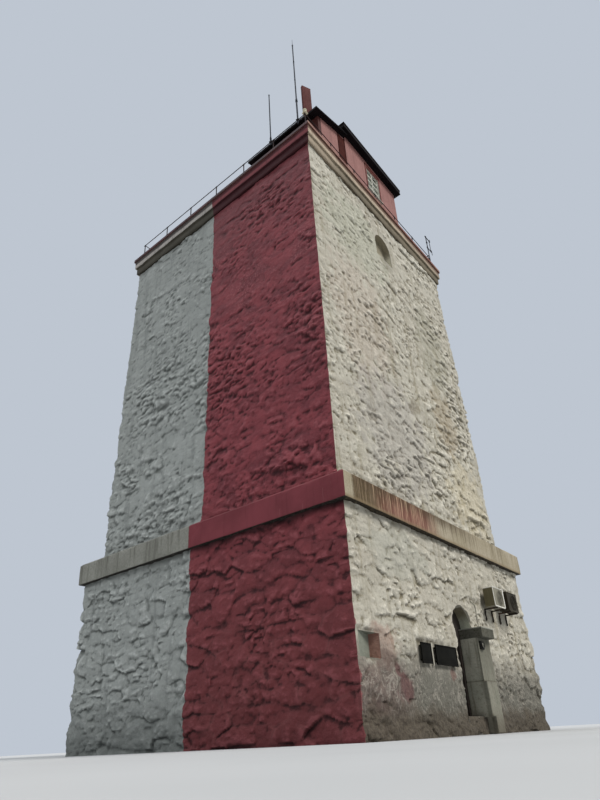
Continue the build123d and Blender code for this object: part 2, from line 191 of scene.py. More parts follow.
bpy.context.scene.view_settings.view_transform = "Standard"
sky = bpy.data.worlds.new("sky")
sky.use_nodes = True
bpy.context.scene.world = sky
ray, plain, seen, choice, straight_or_glossy, any_seen = [
    sky.node_tree.nodes.new("ShaderNode" + kind)
    for kind in ("LightPath", "Background", "Background", "MixShader", "Math", "Math")]
plain.inputs[0].default_value, plain.inputs[1].default_value = (0.93, 0.97, 1.0, 1), 0.24
seen.inputs[0].default_value, seen.inputs[1].default_value = srgb(190, 198, 209), 1.0
straight_or_glossy.operation = any_seen.operation = "MAXIMUM"
for source, target in ((ray.outputs["Is Camera Ray"], straight_or_glossy.inputs[0]),
                       (ray.outputs["Is Glossy Ray"], straight_or_glossy.inputs[1]),
                       (straight_or_glossy.outputs[0], any_seen.inputs[0]),
                       (ray.outputs["Is Transmission Ray"], any_seen.inputs[1]),
                       (any_seen.outputs[0], choice.inputs[0]),
                       (plain.outputs[0], choice.inputs[1]),
                       (seen.outputs[0], choice.inputs[2]),
                       (choice.outputs[0], sky.node_tree.nodes["World Output"].inputs[0])):
    sky.node_tree.links.new(source, target)

bpy.ops.mesh.primitive_plane_add(size=400, location=(0, 0, 0))
floor = bpy.context.object
floor.name = "floor"
chalk = Finish("pale_floor", 0.95)
chalk.set(Base_Color=chalk.mix(chalk.noise(0.4, 2), (176, 178, 180), (186, 188, 190)))
floor.data.materials.append(chalk.material)


# Lower storey walls
# Thick walls of split fieldstone laid in rough courses, daubed with mortar and painted many
# times over. Stones stand proud or lie back, and each edge that overhangs casts a thin shadow.
ROWS_OF_CHANCE, FIRST_ROW = 97, 7.3


class Unrolled:
    """The outer faces of four walls laid out flat: how far along and how high up each point is.
    What is drawn on them joins up all the way round."""

    def __init__(self, along, up, around):
        self.along, self.up, self.around = along, up, around

    def bent(self, by_along, by_up):
        """The same faces with every point pushed aside, so that what is drawn on them wanders."""
        return Unrolled(self.along + by_along, self.up + by_up, self.around)

    def hills(self, long, tall, seed):
        """Soft hills of about that size, from -1 to 1."""
        columns = max(3, round(self.around / long))
        heights = np.random.default_rng(seed).uniform(-1, 1, (ROWS_OF_CHANCE, columns))
        x, y = self.along / self.around * columns, self.up / tall + FIRST_ROW
        left, low = np.floor(x).astype(int), np.floor(y).astype(int)
        a, b = [share * share * (3 - 2 * share) for share in (x - left, y - low)]

        def corner(i, j):
            return heights[(low + j) % ROWS_OF_CHANCE, (left + i) % columns]

        return ((corner(0, 0) * (1 - a) + corner(1, 0) * a) * (1 - b)
                + (corner(0, 1) * (1 - a) + corner(1, 1) * a) * b)

    def stones(self, long, tall, seed, proud, tilt):
        """Rubble of about that size: how far each point stands out, how near it is to a joint, and
        a number for its stone. Most stones lie near the face, and a few stand well out or in. Each
        is a little round."""
        columns = round(self.around / long)
        rng = np.random.default_rng(seed)
        x, y = self.along / self.around * columns, self.up / tall
        row = np.floor(y).astype(int)
        shape = (ROWS_OF_CHANCE, columns)
        aside, lift, size, tint = [rng.uniform(-1, 1, shape) for _ in range(4)]
        out = rng.uniform(-1, 1, shape)
        out = np.sign(out) * np.abs(out) ** 1.7
        lean_along, lean_up = rng.normal(0, 0.9, shape), rng.normal(-0.8, 0.8, shape)
        nearest, second = np.full(x.shape, 9.0), np.full(x.shape, 9.0)
        height, number = np.zeros(x.shape), np.zeros(x.shape)
        for r in (row - 1, row, row + 1):
            start = 0.5 * (r % 2) + 0.3 * aside[r % ROWS_OF_CHANCE, 0]
            first = np.floor(x - start).astype(int)
            for c in (first - 1, first, first + 1, first + 2):
                key = (r % ROWS_OF_CHANCE, c % columns)
                dx = x - (c + start + 0.5 + 0.38 * aside[key])
                dy = y - (r + 0.5 + 0.36 * lift[key])
                away = (np.abs(dx) ** 2.3 + np.abs(dy) ** 2.3) ** (1 / 2.3) - 0.20 * size[key]
                closer = away < nearest
                second = np.where(closer, nearest, np.minimum(second, away))
                face = proud * out[key] + tilt * (dx * lean_along[key] + dy * lean_up[key])
                height = np.where(closer, face, height)
                number = np.where(closer, tint[key], number)
                nearest = np.where(closer, away, nearest)
        height += proud * 0.6 * np.clip(1 - (nearest / 0.60) ** 2, -0.3, 1)
        return height, 1 - np.clip((second - nearest) * tall / 0.10, 0, 1), number


def unrolled(half, columns, up):
    """The faces of four walls of that half-width, with so many columns of points to a side."""
    along = ((np.arange(4)[:, None] + np.arange(columns)[None, :] / columns) * 2 * half).ravel()
    return Unrolled(*np.meshgrid(along, up), 8 * half)


def mortar_slopes(height, drop):
    """Mortar lies on top of what stands out, and leaves the undersides sharp."""
    for i in range(1, len(height)):
        height[i] = np.maximum(height[i], height[i - 1] - drop)
    return height


def soften(height, times):
    for _ in range(times):
        height = (np.roll(height, 1, 1) + 2 * height + np.roll(height, -1, 1)) / 4
        below, over = np.vstack([height[:1], height[:-1]]), np.vstack([height[1:], height[-1:]])
        height = (below + 2 * height + over) / 4
    return height


def primitive(add, **sizes):
    """One of Blender's primitives, selected alone, with its place in its mesh."""
    bpy.ops.object.select_all(action="DESELECT")
    add(**sizes)
    bpy.ops.object.transform_apply(location=True, rotation=True, scale=True)
    return bpy.context.object


def side_of_ring(name, side, out, up, push, marks):
    """One side of a ring of masonry. Its closed outline of half-widths (out) and heights (up) runs
    along the side and is mitred at the corners. push is how far each point stands out."""
    rows, columns = len(out), push.shape[1] - 1
    piece = primitive(bpy.ops.mesh.primitive_grid_add, x_subdivisions=columns, y_subdivisions=rows, size=2)
    piece.name = piece.data.name = name
    place = np.empty(len(piece.data.vertices) * 3, np.float32)
    piece.data.vertices.foreach_get("co", place)
    place = place.reshape(-1, 3)
    i = np.rint((place[:, 0] + 1) / 2 * columns).astype(int)
    j = np.rint((place[:, 1] + 1) / 2 * rows).astype(int) % rows
    share = i / columns * 2 - 1
    corner = np.clip(1 - (1 - np.abs(share)) * out[j] / 0.35, 0, 1) ** 2
    at_corner = np.where(share > 0, push[j, -1], push[j, 0])
    x = share * out[j] + np.sign(share) * corner * at_corner
    y = -(out[j] + push[j, i])
    c, s = [(1, 0), (0, 1), (-1, 0), (0, -1)][side]
    place = np.stack([c * x - s * y, s * x + c * y, up[j]], 1)
    piece.data.vertices.foreach_set("co", place.astype(np.float32).ravel())
    for mark, values in marks.items():
        layer = piece.data.attributes.new(mark, "FLOAT", "POINT")
        layer.data.foreach_set("value", values[j, i].astype(np.float32))
    bpy.ops.object.mode_set(mode="EDIT")
    bpy.ops.mesh.select_all(action="SELECT")
    bpy.ops.mesh.remove_doubles(threshold=0.0005)
    bpy.ops.mesh.fill_holes(sides=0)
    bpy.ops.mesh.select_all(action="SELECT")
    bpy.ops.mesh.normals_make_consistent(inside=False)
    bpy.ops.object.mode_set(mode="OBJECT")
    bpy.ops.object.shade_smooth_by_angle(angle=math.radians(42))
    return piece


def four_sides(name, out, up, height, marks):
    """The four sides of a ring out of its unrolled relief. The last two points of the outline are
    the plain inner face. The two sides that are seen less often have half as many points."""
    columns = height.shape[1] // 4
    sides = []
    for side, facing in enumerate(("front", "right", "back", "left")):
        step = 1 if side < 2 else 2
        column = (np.arange(0, columns + 1, step) + side * columns) % (4 * columns)
        inner = np.zeros((2, len(column)))
        push, *of_side = [np.vstack([values[:, column], inner]) for values in (height, *marks.values())]
        sides.append(side_of_ring(name.format(facing), side, out, up, push, dict(zip(marks, of_side))))
    return sides


def ring_of_rubble(name, low, high, half_low, half_high, inner, spacing, relief, roughness):
    """The four walls of a storey, each a closed solid with its relief on the outer face."""
    rows = round((high - low) / spacing)
    up = np.linspace(low, high, rows + 1)
    wall = unrolled(half_low, 2 * round(half_low / spacing), up)
    height, seam, stone = relief(wall)
    height = mortar_slopes(height, 0.50 * (high - low) / rows)
    daubed = soften(height, 4)
    sharp = np.clip(0.70 + 0.8 * wall.hills(0.62, 0.42, 91) + 0.5 * wall.hills(0.22, 0.16, 92), 0.10, 1)
    height = daubed + (height - daubed) * sharp
    lumpy = np.clip(0.75 + 0.8 * wall.hills(0.9, 0.7, 93), 0.25, 1.3) * roughness(wall)
    ragged = wall.bent(0.05 * wall.hills(0.21, 0.15, 96), 0.04 * wall.hills(0.18, 0.14, 98))
    chips = ragged.stones(0.20, 0.12, 97, 0.007, 0.015)[0]
    height += lumpy * (chips + 0.009 * wall.hills(0.17, 0.12, 94) + 0.007 * wall.hills(0.085, 0.07, 95))
    # under marks the points just below an edge that overhangs, and hollow the points lying lower than the wall
    # round them; the paints darken under as painted shadow, and hollow as grime and painted shade.
    top = height[-1:]
    over = np.maximum(np.vstack([height[1:], top]), np.vstack([height[2:], top, top]))
    under = np.clip((over - height - 0.014) / 0.030, 0, 1)
    hollow = np.clip((soften(height, 14) - height) / 0.024, -1, 1)
    out = np.append(np.linspace(half_low, half_high, rows + 1), [inner, inner])
    marks = {"hollow": hollow, "under": under, "seam": seam, "stone": stone}
    return four_sides(name, out, np.append(up, [high, low]), height, marks)


def shaped(piece, kind, **settings):
    """Works on a piece with one of Blender's modifiers."""
    change = piece.modifiers.new("change", kind)
    for key, value in settings.items():
        setattr(change, key, value)
    bpy.context.view_layer.objects.active = piece
    bpy.ops.object.modifier_apply(modifier=change.name)
    return piece


def eased(piece, width, segments=2):
    """Takes the sharpness off all the edges."""
    return shaped(piece, "BEVEL", width=width, segments=segments, limit_method="ANGLE",
                  angle_limit=math.radians(40))


def block(low, high, edge=0.0, segments=2):
    """A box between two corners, with eased edges where a width is given for them."""
    middle, size = [(a + b) / 2 for a, b in zip(low, high)], [b - a for a, b in zip(low, high)]
    piece = primitive(bpy.ops.mesh.primitive_cube_add, size=1, location=middle, scale=size)
    return eased(piece, edge, segments) if edge else piece


def arched_cutter(middle_y, half_width, sill, spring, x_from, x_to):
    """A tool in the shape of an arched opening, which runs through a wall along X."""
    cutter = primitive(bpy.ops.mesh.primitive_cylinder_add, vertices=64, radius=half_width,
                       depth=x_to - x_from, location=((x_from + x_to) / 2, middle_y, spring),
                       rotation=(0, math.pi / 2, 0))
    bpy.ops.object.mode_set(mode="EDIT")
    bpy.ops.mesh.select_all(action="DESELECT")
    bpy.ops.object.mode_set(mode="OBJECT")
    for corner in cutter.data.vertices:
        corner.select = corner.co.z < spring - 0.001
    bpy.ops.object.mode_set(mode="EDIT")
    bpy.ops.transform.resize(value=(1, 1, 0), center_override=(0, middle_y, spring))
    bpy.ops.transform.translate(value=(0, 0, sill - spring))
    bpy.ops.object.mode_set(mode="OBJECT")
    return cutter


def turned(degrees, about=(0, 0, 0), axis="Z"):
    """A turn about a line through that point."""
    pivot = Matrix.Translation(about)
    return pivot @ Matrix.Rotation(math.radians(degrees), 4, axis) @ pivot.inverted()


def cut(piece, *cutters):
    """Cuts openings, and leaves no marks of stones on the cut faces."""
    for cutter in cutters:
        shaped(piece, "BOOLEAN", operation="DIFFERENCE", object=cutter, solver="EXACT")
        corners = np.array([v.co for v in cutter.data.vertices])
        place = np.array([v.co for v in piece.data.vertices])
        inside = np.all((place > corners.min(0) - 0.002) & (place < corners.max(0) + 0.002), 1)
        for mark in ("hollow", "under", "seam"):
            if mark in piece.data.attributes:
                layer = piece.data.attributes[mark].data
                values = np.zeros(len(place), np.float32)
                layer.foreach_get("value", values)
                values[inside] = 0
                layer.foreach_set("value", values)
        bpy.data.objects.remove(cutter)
    return piece


def beyond(values, low, high):
    """How far values lie outside a range."""
    return np.maximum(np.maximum(low - values, values - high), 0)


WALL_HALF, WALL_INNER, WALL_TOP = 5.400, 3.900, 5.166
PLASTERED_FLAT = ((-2.75, -0.75, 1.60, 2.17, 0.10), (1.72, 3.74, 3.10, 4.14, 0.12),
                  (0.60, 1.45, -0.50, 2.80, 0.08), (-5.33, -4.30, 1.60, 2.19, 0.10),
                  (0.64, 1.42, 2.70, 3.60, 0.15))
OPEN_JOINTS = ((-4.84, -4.48, 0.73), (-2.32, -1.96, 0.94), (-5.06, -4.52, 1.60))


def lower_relief(wall):
    """Big stones, some of them a metre long, with mortar daubed in between. The entrance side is
    plastered flat behind the boards, the units and the pier, and beside the small niche."""
    hills, up = wall.hills, wall.up
    bent = wall.bent(0.20 * hills(1.7, 0.8, 12) + 0.05 * hills(0.3, 0.22, 13),
                     0.13 * hills(2.2, 1.3, 14) + 0.04 * hills(0.36, 0.2, 15))
    big, seam, number = bent.stones(0.86, 0.44, 11, 0.042, 0.030)
    small, small_seam, small_number = bent.stones(0.34, 0.17, 16, 0.021, 0.026)
    patch = np.clip(0.42 + 1.5 * hills(1.3, 0.9, 17), 0, 1)
    height = big * (1 - 0.45 * patch) + small * (0.20 + 0.70 * patch)
    groove = np.clip(0.55 + hills(0.8, 0.6, 18), 0, 1)
    height -= 0.017 * seam ** 1.5 * groove * (1 - 0.4 * patch) + 0.008 * small_seam * patch * groove
    lumps = np.abs(bent.hills(0.42, 0.28, 26)) + 0.45 * np.abs(bent.hills(0.17, 0.12, 27))
    height += 0.040 * lumps * np.clip(0.8 + 0.7 * hills(1.1, 0.8, 28), 0.3, 1.3) - 0.015
    height += 0.012 * hills(0.45, 0.35, 19) + 0.005 * hills(0.14, 0.11, 20) + 0.020 * hills(3.1, 2.3, 21)
    course = (bent.up / 1.3 + 0.6 * hills(2.1, 1.0, 29)) % 1
    height += 0.024 * (1 - course) ** 2 * np.clip(0.3 + 1.3 * hills(1.4, 0.9, 30), 0, 1)
    y = wall.along - 3 * WALL_HALF
    height *= 1 - 0.24 * np.clip(WALL_HALF - np.abs(y), 0, 1)
    flat = np.zeros(y.shape)
    for y_low, y_high, z_low, z_high, soft in PLASTERED_FLAT:
        away = np.hypot(beyond(y, y_low, y_high), beyond(up, z_low, z_high))
        flat = np.maximum(flat, np.clip(1 - away / soft, 0, 1))
    level = 0.005 * hills(0.3, 0.3, 22) - 0.004
    height = height * (1 - flat) + level * flat
    smooth = np.clip(1.3 - np.hypot((y + 1.95) / 0.95, (up - 1.02) / 0.52), 0, 1) ** 0.5 * 0.75
    height = height * (1 - smooth) + (0.006 + 0.5 * level) * smooth
    for y_low, y_high, middle_z in OPEN_JOINTS:
        slot = np.clip(1.4 - np.abs(up - middle_z) / 0.035, 0, 1)
        height -= 0.055 * slot * np.clip(1 - beyond(y, y_low, y_high) / 0.04, 0, 1)
    return height, seam, 0.5 + 0.35 * number + 0.15 * small_number


def lower_roughness(wall):
    """Coarser on the entrance side, but smooth where that is plastered."""
    y = wall.along - 3 * WALL_HALF
    plastered = np.clip(1.4 - np.hypot((y + 1.95) / 1.0, (wall.up - 1.3) / 0.9), 0, 1)
    return 0.55 + 1.0 * np.clip(WALL_HALF - np.abs(y), 0, 0.5) - 0.95 * plastered * (np.abs(y) < WALL_HALF)


lower = ring_of_rubble("lower_storey_{}", 0.0, WALL_TOP, WALL_HALF, WALL_HALF, WALL_INNER, 0.034,
                       lower_relief, lower_roughness)
wedge = block((5.15, -5.60, 1.64), (6.20, -4.525, 2.18))
wedge.data.transform(turned(17.25, about=(5.15, -4.525, 0)))
DOORWAY_Y, DOORWAY_HALF, DOORWAY_SILL, DOORWAY_SPRING = 0.12, 0.60, 0.45, 2.79
cut(lower[1], arched_cutter(DOORWAY_Y, DOORWAY_HALF, DOORWAY_SILL, DOORWAY_SPRING, 3.5, 6.0), wedge)


def masonry_paint(name, tints, foot_dirt, dirt_and_shade_grain, red_part=None, stains=None):
    """Old thick paint on rubble: white with olive and grey in the hollows, partly grime and partly
    painted shade, grime in long streaks, painted shadow under overhanging edges and under the belt,
    and lighter worn paint with painted highlight on the ridges; where red_part says so deep red with
    paler worn mortar."""
    fresh, faded, odd_stone, hollow_dirt_and_shade, streak_dirt, ground_dirt, worn_white_and_highlight, shadow = tints
    f = Finish(name, 0.82, gloss=0.3)
    x, y, z = f.axes()
    hollow, under, seam, stone = [f.node("ShaderNodeAttribute", {"attribute_name": mark}, out="Fac")
                                  for mark in ("hollow", "under", "seam", "stone")]
    cloud, patch = f.noise(0.45, 4), f.noise(2.0, 4, shift=(3, 1, 5))
    grain, fine = f.noise(13, 5, rough=0.62), f.noise(44, 3, rough=0.6)
    streak = f.noise(3.4, 5, stretch=(1, 1, 0.10), shift=(1, 7, 0), rough=0.6)
    near_ground = 1 - z.between(0.0, 2.2)
    # The hollows darken with olive and grey: partly grime, partly painted shade.
    dirt_and_shade = (hollow + (grain - 0.5) * dirt_and_shade_grain).between(0.0, 1.0)
    # Ridges are painted lighter: partly worn paint, partly painted highlight where the light falls on them.
    wear_and_highlight = ((grain - 0.5) * 1.5 - hollow).between(0.2, 0.95)
    white = f.coats(f.mix((cloud * 0.5 + patch * 0.5).between(0.38, 0.64), fresh, faded),
                    (stone.between(0.35, 0.9) * 0.4, odd_stone),
                    (wear_and_highlight * 0.75, worn_white_and_highlight),
                    (dirt_and_shade * 0.82, hollow_dirt_and_shade),
                    (streak.between(0.50, 0.70) * 0.55, streak_dirt),
                    (near_ground * patch.between(0.30, 0.60) * 0.75, ground_dirt),
                    ((1 - (z + (patch - 0.5) * 2.4).between(0.2, 1.3)) * foot_dirt, ground_dirt))
    # below_belt is the painted shadow under the belt; there and under each overhanging edge the paint is
    # darkened to the shadow tint, as painted shadow.
    below_belt = (1 - abs(z - 5.17).between(0.02, 0.20)) * 0.6
    if stains:
        white = stains(f, x, y, z, patch, grain, white)
        below_belt = below_belt * 0.45
    white = f.mix((under * 0.50).most(below_belt * 0.8), white, shadow)
    worn = cloud.between(0.46, 0.60) * z.between(9.5, 12.0) * (1 - z.between(16.0, 18.0))
    dark_joint = seam.between(0.5, 0.95) * patch.between(0.48, 0.58) * (1 - z.between(4.9, 5.8))
    red = f.coats(f.mix((cloud * 0.4 + patch * 0.6).between(0.36, 0.66), (149, 70, 77), (127, 58, 65)),
                  (stone.between(0.4, 0.9) * 0.55, (98, 42, 50)),
                  ((1 - z.between(2.0, 7.0)) * 0.60, (111, 54, 54)),
                  (z.between(15.0, 18.5) * 0.55, (112, 60, 64)),
                  (seam * (1 - z.between(1.6, 3.4)) * patch.between(0.40, 0.60) * 0.55, (168, 98, 100)),
                  (wear_and_highlight * 0.50, (168, 94, 100)),
                  (worn * grain.between(0.50, 0.62) * 0.55, (170, 104, 108)),
                  (dirt_and_shade * 0.80, f.mix(z.between(4.8, 5.8), (50, 18, 22), (76, 30, 35))),
                  (dark_joint * 0.34, (50, 18, 22)),
                  ((1 - z.between(0.2, 3.2)) * 0.25, (88, 44, 42)),
                  # painted shadow under overhanging edges and under the belt, on the red
                  ((under * 0.6).most(below_belt * 1.4), (36, 14, 17)))
    where = red_part(f, x, y, z, patch, grain) if red_part else 0.0
    f.set(Base_Color=f.mix(where, white, red), Roughness=0.78 + grain * 0.14 - where * 0.10)
    lump = f.noise(6.0, 3, shift=(4, 4, 2), rough=0.55)
    crag = abs(f.noise(4.4, 5, shift=(8, 2, 6), rough=0.6, twist=0.5) - 0.5)
    f.relief(grain * 0.46 + fine * 0.16 + lump * 0.26 + crag * 0.8, 0.065, 0.9)
    return f.material


def red_half_of_front(sign):
    """The red begins near the middle of the face, on a line that wanders, and ends at the corner."""
    def part(f, x, y, z, patch, grain):
        wander = f.node("ShaderNodeTexNoise", {"noise_dimensions": "1D"},
                        {"W": z, "Scale": 0.5, "Detail": 2.0})
        line = (wander - 0.5) * 0.20 + (patch - 0.5) * 0.10 + (grain - 0.5) * 0.10
        return (x * sign + line).between(-0.010, 0.010)
    return part


def drops_by_corner(f, x, y, z, patch, grain):
    """A little of the red has run round the near corner."""
    reach = (patch - 0.5) * 0.30 + (grain - 0.5) * 0.25 + (1 - z.between(0.2, 2.6)) * 0.06
    return (reach - (y + 5.44)).between(0.0, 0.03) * 0.85


BROAD_STAINS = ((-2.7, 12.6, 1.7, 2.8, 0.26, (190, 172, 159)), (-1.6, 8.5, 2.2, 2.3, 0.40, (162, 158, 155)),
                (2.5, 10.7, 0.9, 1.6, 0.42, (150, 132, 102)), (0.1, 10.2, 0.35, 0.45, 0.50, (122, 112, 90)),
                (3.3, 7.6, 1.5, 1.7, 0.40, (204, 192, 162)), (-2.4, 16.6, 2.2, 1.8, 0.40, (180, 184, 166)),
                (2.6, 14.0, 1.2, 2.2, 0.40, (150, 148, 130)), (-3.1, 4.3, 1.4, 0.7, 0.30, (170, 174, 164)))


def entrance_side_stains(f, x, y, z, patch, grain, white):
    """Broad stains of several tints, pink bare render round the small niche, painted shade in the
    lowest part, grey with mauve and maroon patches and pale scratches in it, a foot that darkens
    towards the ground, a patch of painted shade under the blind niche, and painted shade inside the
    blind niche and on the doorway's reveal, with a painted dark hole in the blind niche; the small
    niche is grey-green at the back and pink on its return, partly painted shade."""
    def spot(middle_y, middle_z, reach_y, reach_z, wobble=patch):
        a, b = (y - middle_y) / reach_y, (z - middle_z) / reach_z
        return 1 - (a * a + b * b + (wobble - 0.5) * 3.4).between(0.45, 1.25)

    def within(value, low, high):
        return (value > low) * (value < high)

    white = f.coats(white, *[(spot(*place) * share, tint) for *place, share, tint in BROAD_STAINS])
    bare = spot(-4.20, 2.02, 0.70, 0.42).most(spot(-4.82, 1.15, 0.34, 0.55) * 0.8)
    # The lowest part is painted dark grey for the shade there, with mauve patches and pale scratches in it.
    low = 1 - (z + (patch - 0.5) * 1.1).between(1.15, 2.35)
    mauve = (1 - (y + (patch - 0.5) * 2.0).between(-4.1, -2.7)) * low
    scratch = abs(f.noise(2.6, 4, stretch=(1, 1, 0.7), shift=(6, 3, 2), rough=0.6, twist=1.2) - 0.5)
    greyed = f.coats(f.mix(grain.between(0.30, 0.62), (88, 86, 79), (112, 110, 101)),
                     (mauve * 0.9, f.mix(grain.between(0.32, 0.64), (88, 75, 71), (118, 105, 98))),
                     ((1 - scratch.between(0.008, 0.030)) * 0.55, (168, 162, 152)))
    maroon = spot(-3.55, 1.06, 0.46, 0.30).most(spot(-3.80, 1.42, 0.14, 0.20))
    foot = 1 - (z + (patch - 0.5) * 0.8).between(0.35, 0.85)
    # Painted shade inside the blind niche and on the doorway's reveal, dark above and pale below, a painted
    # dark hole in the back of the blind niche, and the small niche grey-green at the back and pink on its
    # return, partly painted shade.
    sunk = (x < 4.70).most((x < 4.835) * within(z, 16.84, 18.14) * within(y, -0.80, 0.35)) * (z > 16.8)
    hole = 1 - ((y + 0.64) * (y + 0.64) + (z - 17.16) * (z - 17.16)).between(0.0008, 0.0022)
    reveal = (x < 5.35) * within(y, 0.30, 0.74) * within(z, 2.40, 3.42)
    small_niche = (x < 5.388) * within(y, -5.36, -4.42) * within(z, 1.63, 2.19)
    return f.coats(
        white,
        (bare * (0.25 + grain * 0.60), f.mix(patch, (176, 142, 128), (152, 118, 108))),
        (low * 0.92, greyed),
        (spot(-1.02, 1.44, 0.16, 0.16) * 0.6, (124, 92, 84)),
        (maroon * 0.85, f.mix(grain.between(0.3, 0.7), (84, 56, 56), (112, 82, 79))),
        (spot(-4.70, 0.62, 0.40, 0.20) * 0.7, (78, 62, 57)),
        (spot(-4.25, 1.62, 0.55, 0.22) * 0.6, (110, 92, 84)),
        (foot * 0.90, f.mix(grain.between(0.35, 0.65), (70, 62, 52), (92, 84, 72))),
        # a patch of painted shade under the blind niche
        (spot(-0.16, 16.62, 0.50, 0.30, patch * 0.3 + 0.35) * 0.45, (132, 128, 112)),
        (sunk, f.mix((z + (y + 0.22) * -0.5).between(16.95, 17.55), (210, 206, 190), (140, 132, 112))),
        (hole * (x < 4.80), (22, 19, 16)),
        (reveal, f.mix((z + (grain - 0.5) * 0.15).between(2.80, 3.25), (204, 208, 192), (120, 113, 94))),
        (small_niche, f.mix(y > -4.535, f.mix(grain, (118, 122, 111), (142, 145, 132)),
                            f.mix(patch.between(0.3, 0.7), (150, 110, 98), (178, 140, 125)))))


def fix(piece, paint, slot, *nodes, body="tower"):
    """Gives a piece its finish and its body, and puts it in the place of the nodes it stands for."""
    piece.data.materials.clear()
    piece.data.materials.append(paint)
    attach(piece, body)
    if nodes:
        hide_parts(*nodes)


shaded = [(grey - 1, grey + 3, grey) for grey in (165, 175, 153, 112, 134, 120, 204, 58)]
sunny = ((185, 180, 167), (195, 191, 178), (171, 164, 149), (118, 110, 88), (138, 129, 104),
         (104, 95, 84), (228, 223, 209), (62, 54, 40))
masonry_paints = (masonry_paint("front_paint", shaded, 0.45, 1.1, red_half_of_front(1)),
                  masonry_paint("entrance_side_paint", sunny, 0.9, 1.5, drops_by_corner, entrance_side_stains),
                  masonry_paint("back_paint", shaded, 0.45, 1.1, red_half_of_front(-1)),
                  masonry_paint("plain_white_paint", sunny, 0.9, 1.5))
for piece, paint, nodes in zip(lower, masonry_paints, (
        ["lower_front_wall"], ["lower_right_wall_near", "lower_right_wall_far", "entrance_arch"],
        ["lower_back_wall"], ["lower_left_wall"])):
    fix(piece, paint, "painted_rubble", *nodes)


# Shaft walls
# The same rubble in smaller stones, leaning in as it rises. An arched blind niche is sunk into
# the entrance side near the top, and another into the side across from it.
SHAFT_LOW, SHAFT_TOP, SHAFT_HALF, SHAFT_TOP_HALF, SHAFT_INNER = 5.880, 19.080, 5.030, 4.832, 3.730


def shaft_unrest(wall):
    """How rough the shaft is from place to place: smooth where it was daubed over, and roughest in
    a belt of ledges a little below its middle."""
    patches = wall.hills(2.0, 1.5, 60) + 0.3 * wall.hills(0.8, 0.6, 54)
    belt, higher = np.exp(-((wall.up - 11.1) / 1.2) ** 2), np.clip((wall.up - 12.6) / 1.5, 0, 1)
    return np.clip(0.90 + 0.45 * patches + 0.26 * belt - 0.20 * higher, 0.5, 1.3)


def near_blind_niche(y, up):
    """1 round the blind niche, where the wall is daubed smooth, and 0 away from it."""
    away = np.hypot(beyond(y, -0.834, 0.366), beyond(up, 16.80, 18.16))
    return np.clip(1.25 - away / 0.22, 0, 1)


def shaft_relief(wall):
    """Smaller stones under thick paint: broad smooth swells with clusters of pits and ledges,
    rougher towards the back of the entrance side, and smoother higher up."""
    hills, up = wall.hills, wall.up
    bent = wall.bent(0.16 * hills(1.5, 0.7, 42) + 0.05 * hills(0.26, 0.2, 43),
                     0.12 * hills(1.9, 1.2, 44) + 0.04 * hills(0.3, 0.2, 45))
    big, seam, number = bent.stones(0.66, 0.33, 41, 0.024, 0.024)
    small, small_seam, small_number = bent.stones(0.30, 0.15, 46, 0.023, 0.027)
    patch = np.clip(0.45 + 1.4 * hills(1.6, 1.0, 47), 0, 1)
    height = big * (0.80 - 0.30 * patch) + small * (0.25 + 0.68 * patch)
    groove = np.clip(0.55 + hills(0.8, 0.6, 48), 0, 1)
    height -= 0.012 * seam ** 1.5 * groove * (1 - 0.4 * patch) + 0.007 * small_seam * patch * groove
    lumps = np.abs(bent.hills(0.34, 0.24, 56)) + 0.55 * np.abs(bent.hills(0.16, 0.12, 57))
    height += 0.029 * lumps * np.clip(0.8 + 0.7 * hills(1.1, 0.8, 58), 0.3, 1.3) - 0.013
    height += 0.022 * np.abs(bent.hills(0.85, 0.50, 55))
    height += 0.010 * hills(0.40, 0.30, 49) + 0.005 * hills(0.14, 0.11, 50) + 0.018 * hills(2.7, 2.0, 51)
    course = (bent.up / 1.9 + 0.6 * hills(2.1, 1.2, 52)) % 1
    height += 0.042 * (1 - course) ** 2 * np.clip(0.1 + 1.5 * hills(1.7, 1.0, 53), 0, 1)
    y = (wall.along - 3 * SHAFT_HALF) / SHAFT_HALF
    entrance = np.clip(12 - np.abs(y) * 12 + 0.5, 0, 1)
    rough = 1.10 + entrance * (0.22 * y - 0.03) - 0.14 * np.clip((up - 10) / 7, 0, 1)
    rough *= entrance + (1 - entrance) * shaft_unrest(wall)
    low_and_near = np.clip((10.5 - up) / 3, 0, 1) * np.clip(0.4 - y, 0, 1)
    calm = np.clip(1.00 + 0.60 * hills(1.7, 2.3, 59) + 0.10 * y - 0.16 * low_and_near, 0.55, 1.12)
    rough *= 1 - entrance * (1 - calm)
    rough *= 1 - 0.92 * entrance * near_blind_niche(y * SHAFT_HALF, up)
    return height * rough, seam, 0.5 + 0.35 * number + 0.15 * small_number


def shaft_roughness(wall):
    """Smoother just under the cornice and round the blind niche."""
    y = wall.along - 3 * SHAFT_HALF
    entrance = np.abs(y) < SHAFT_HALF
    unrest = np.where(entrance, 1, 0.35 + 0.65 * shaft_unrest(wall))
    near_cornice = np.clip((wall.up - 17.4) / 1.6, 0, 1)
    return unrest * (1 - 0.9 * entrance * near_blind_niche(y, wall.up)) * (1 - 0.35 * near_cornice)


shaft = ring_of_rubble("shaft_{}", SHAFT_LOW, SHAFT_TOP, SHAFT_HALF, SHAFT_TOP_HALF, SHAFT_INNER, 0.044,
                       shaft_relief, shaft_roughness)
NICHE_Y, NICHE_HALF, NICHE_SILL, NICHE_SPRING, NICHE_BACK = -0.225, 0.56, 16.85, 17.56, 4.60
cut(shaft[1], arched_cutter(NICHE_Y, NICHE_HALF, NICHE_SILL, NICHE_SPRING, NICHE_BACK, 6.0))
cut(shaft[3], arched_cutter(-NICHE_Y, NICHE_HALF, NICHE_SILL, NICHE_SPRING, -6.0, -NICHE_BACK))
for piece, paint in zip(shaft, masonry_paints):
    fix(piece, paint, "painted_rubble", piece.name + "_wall")


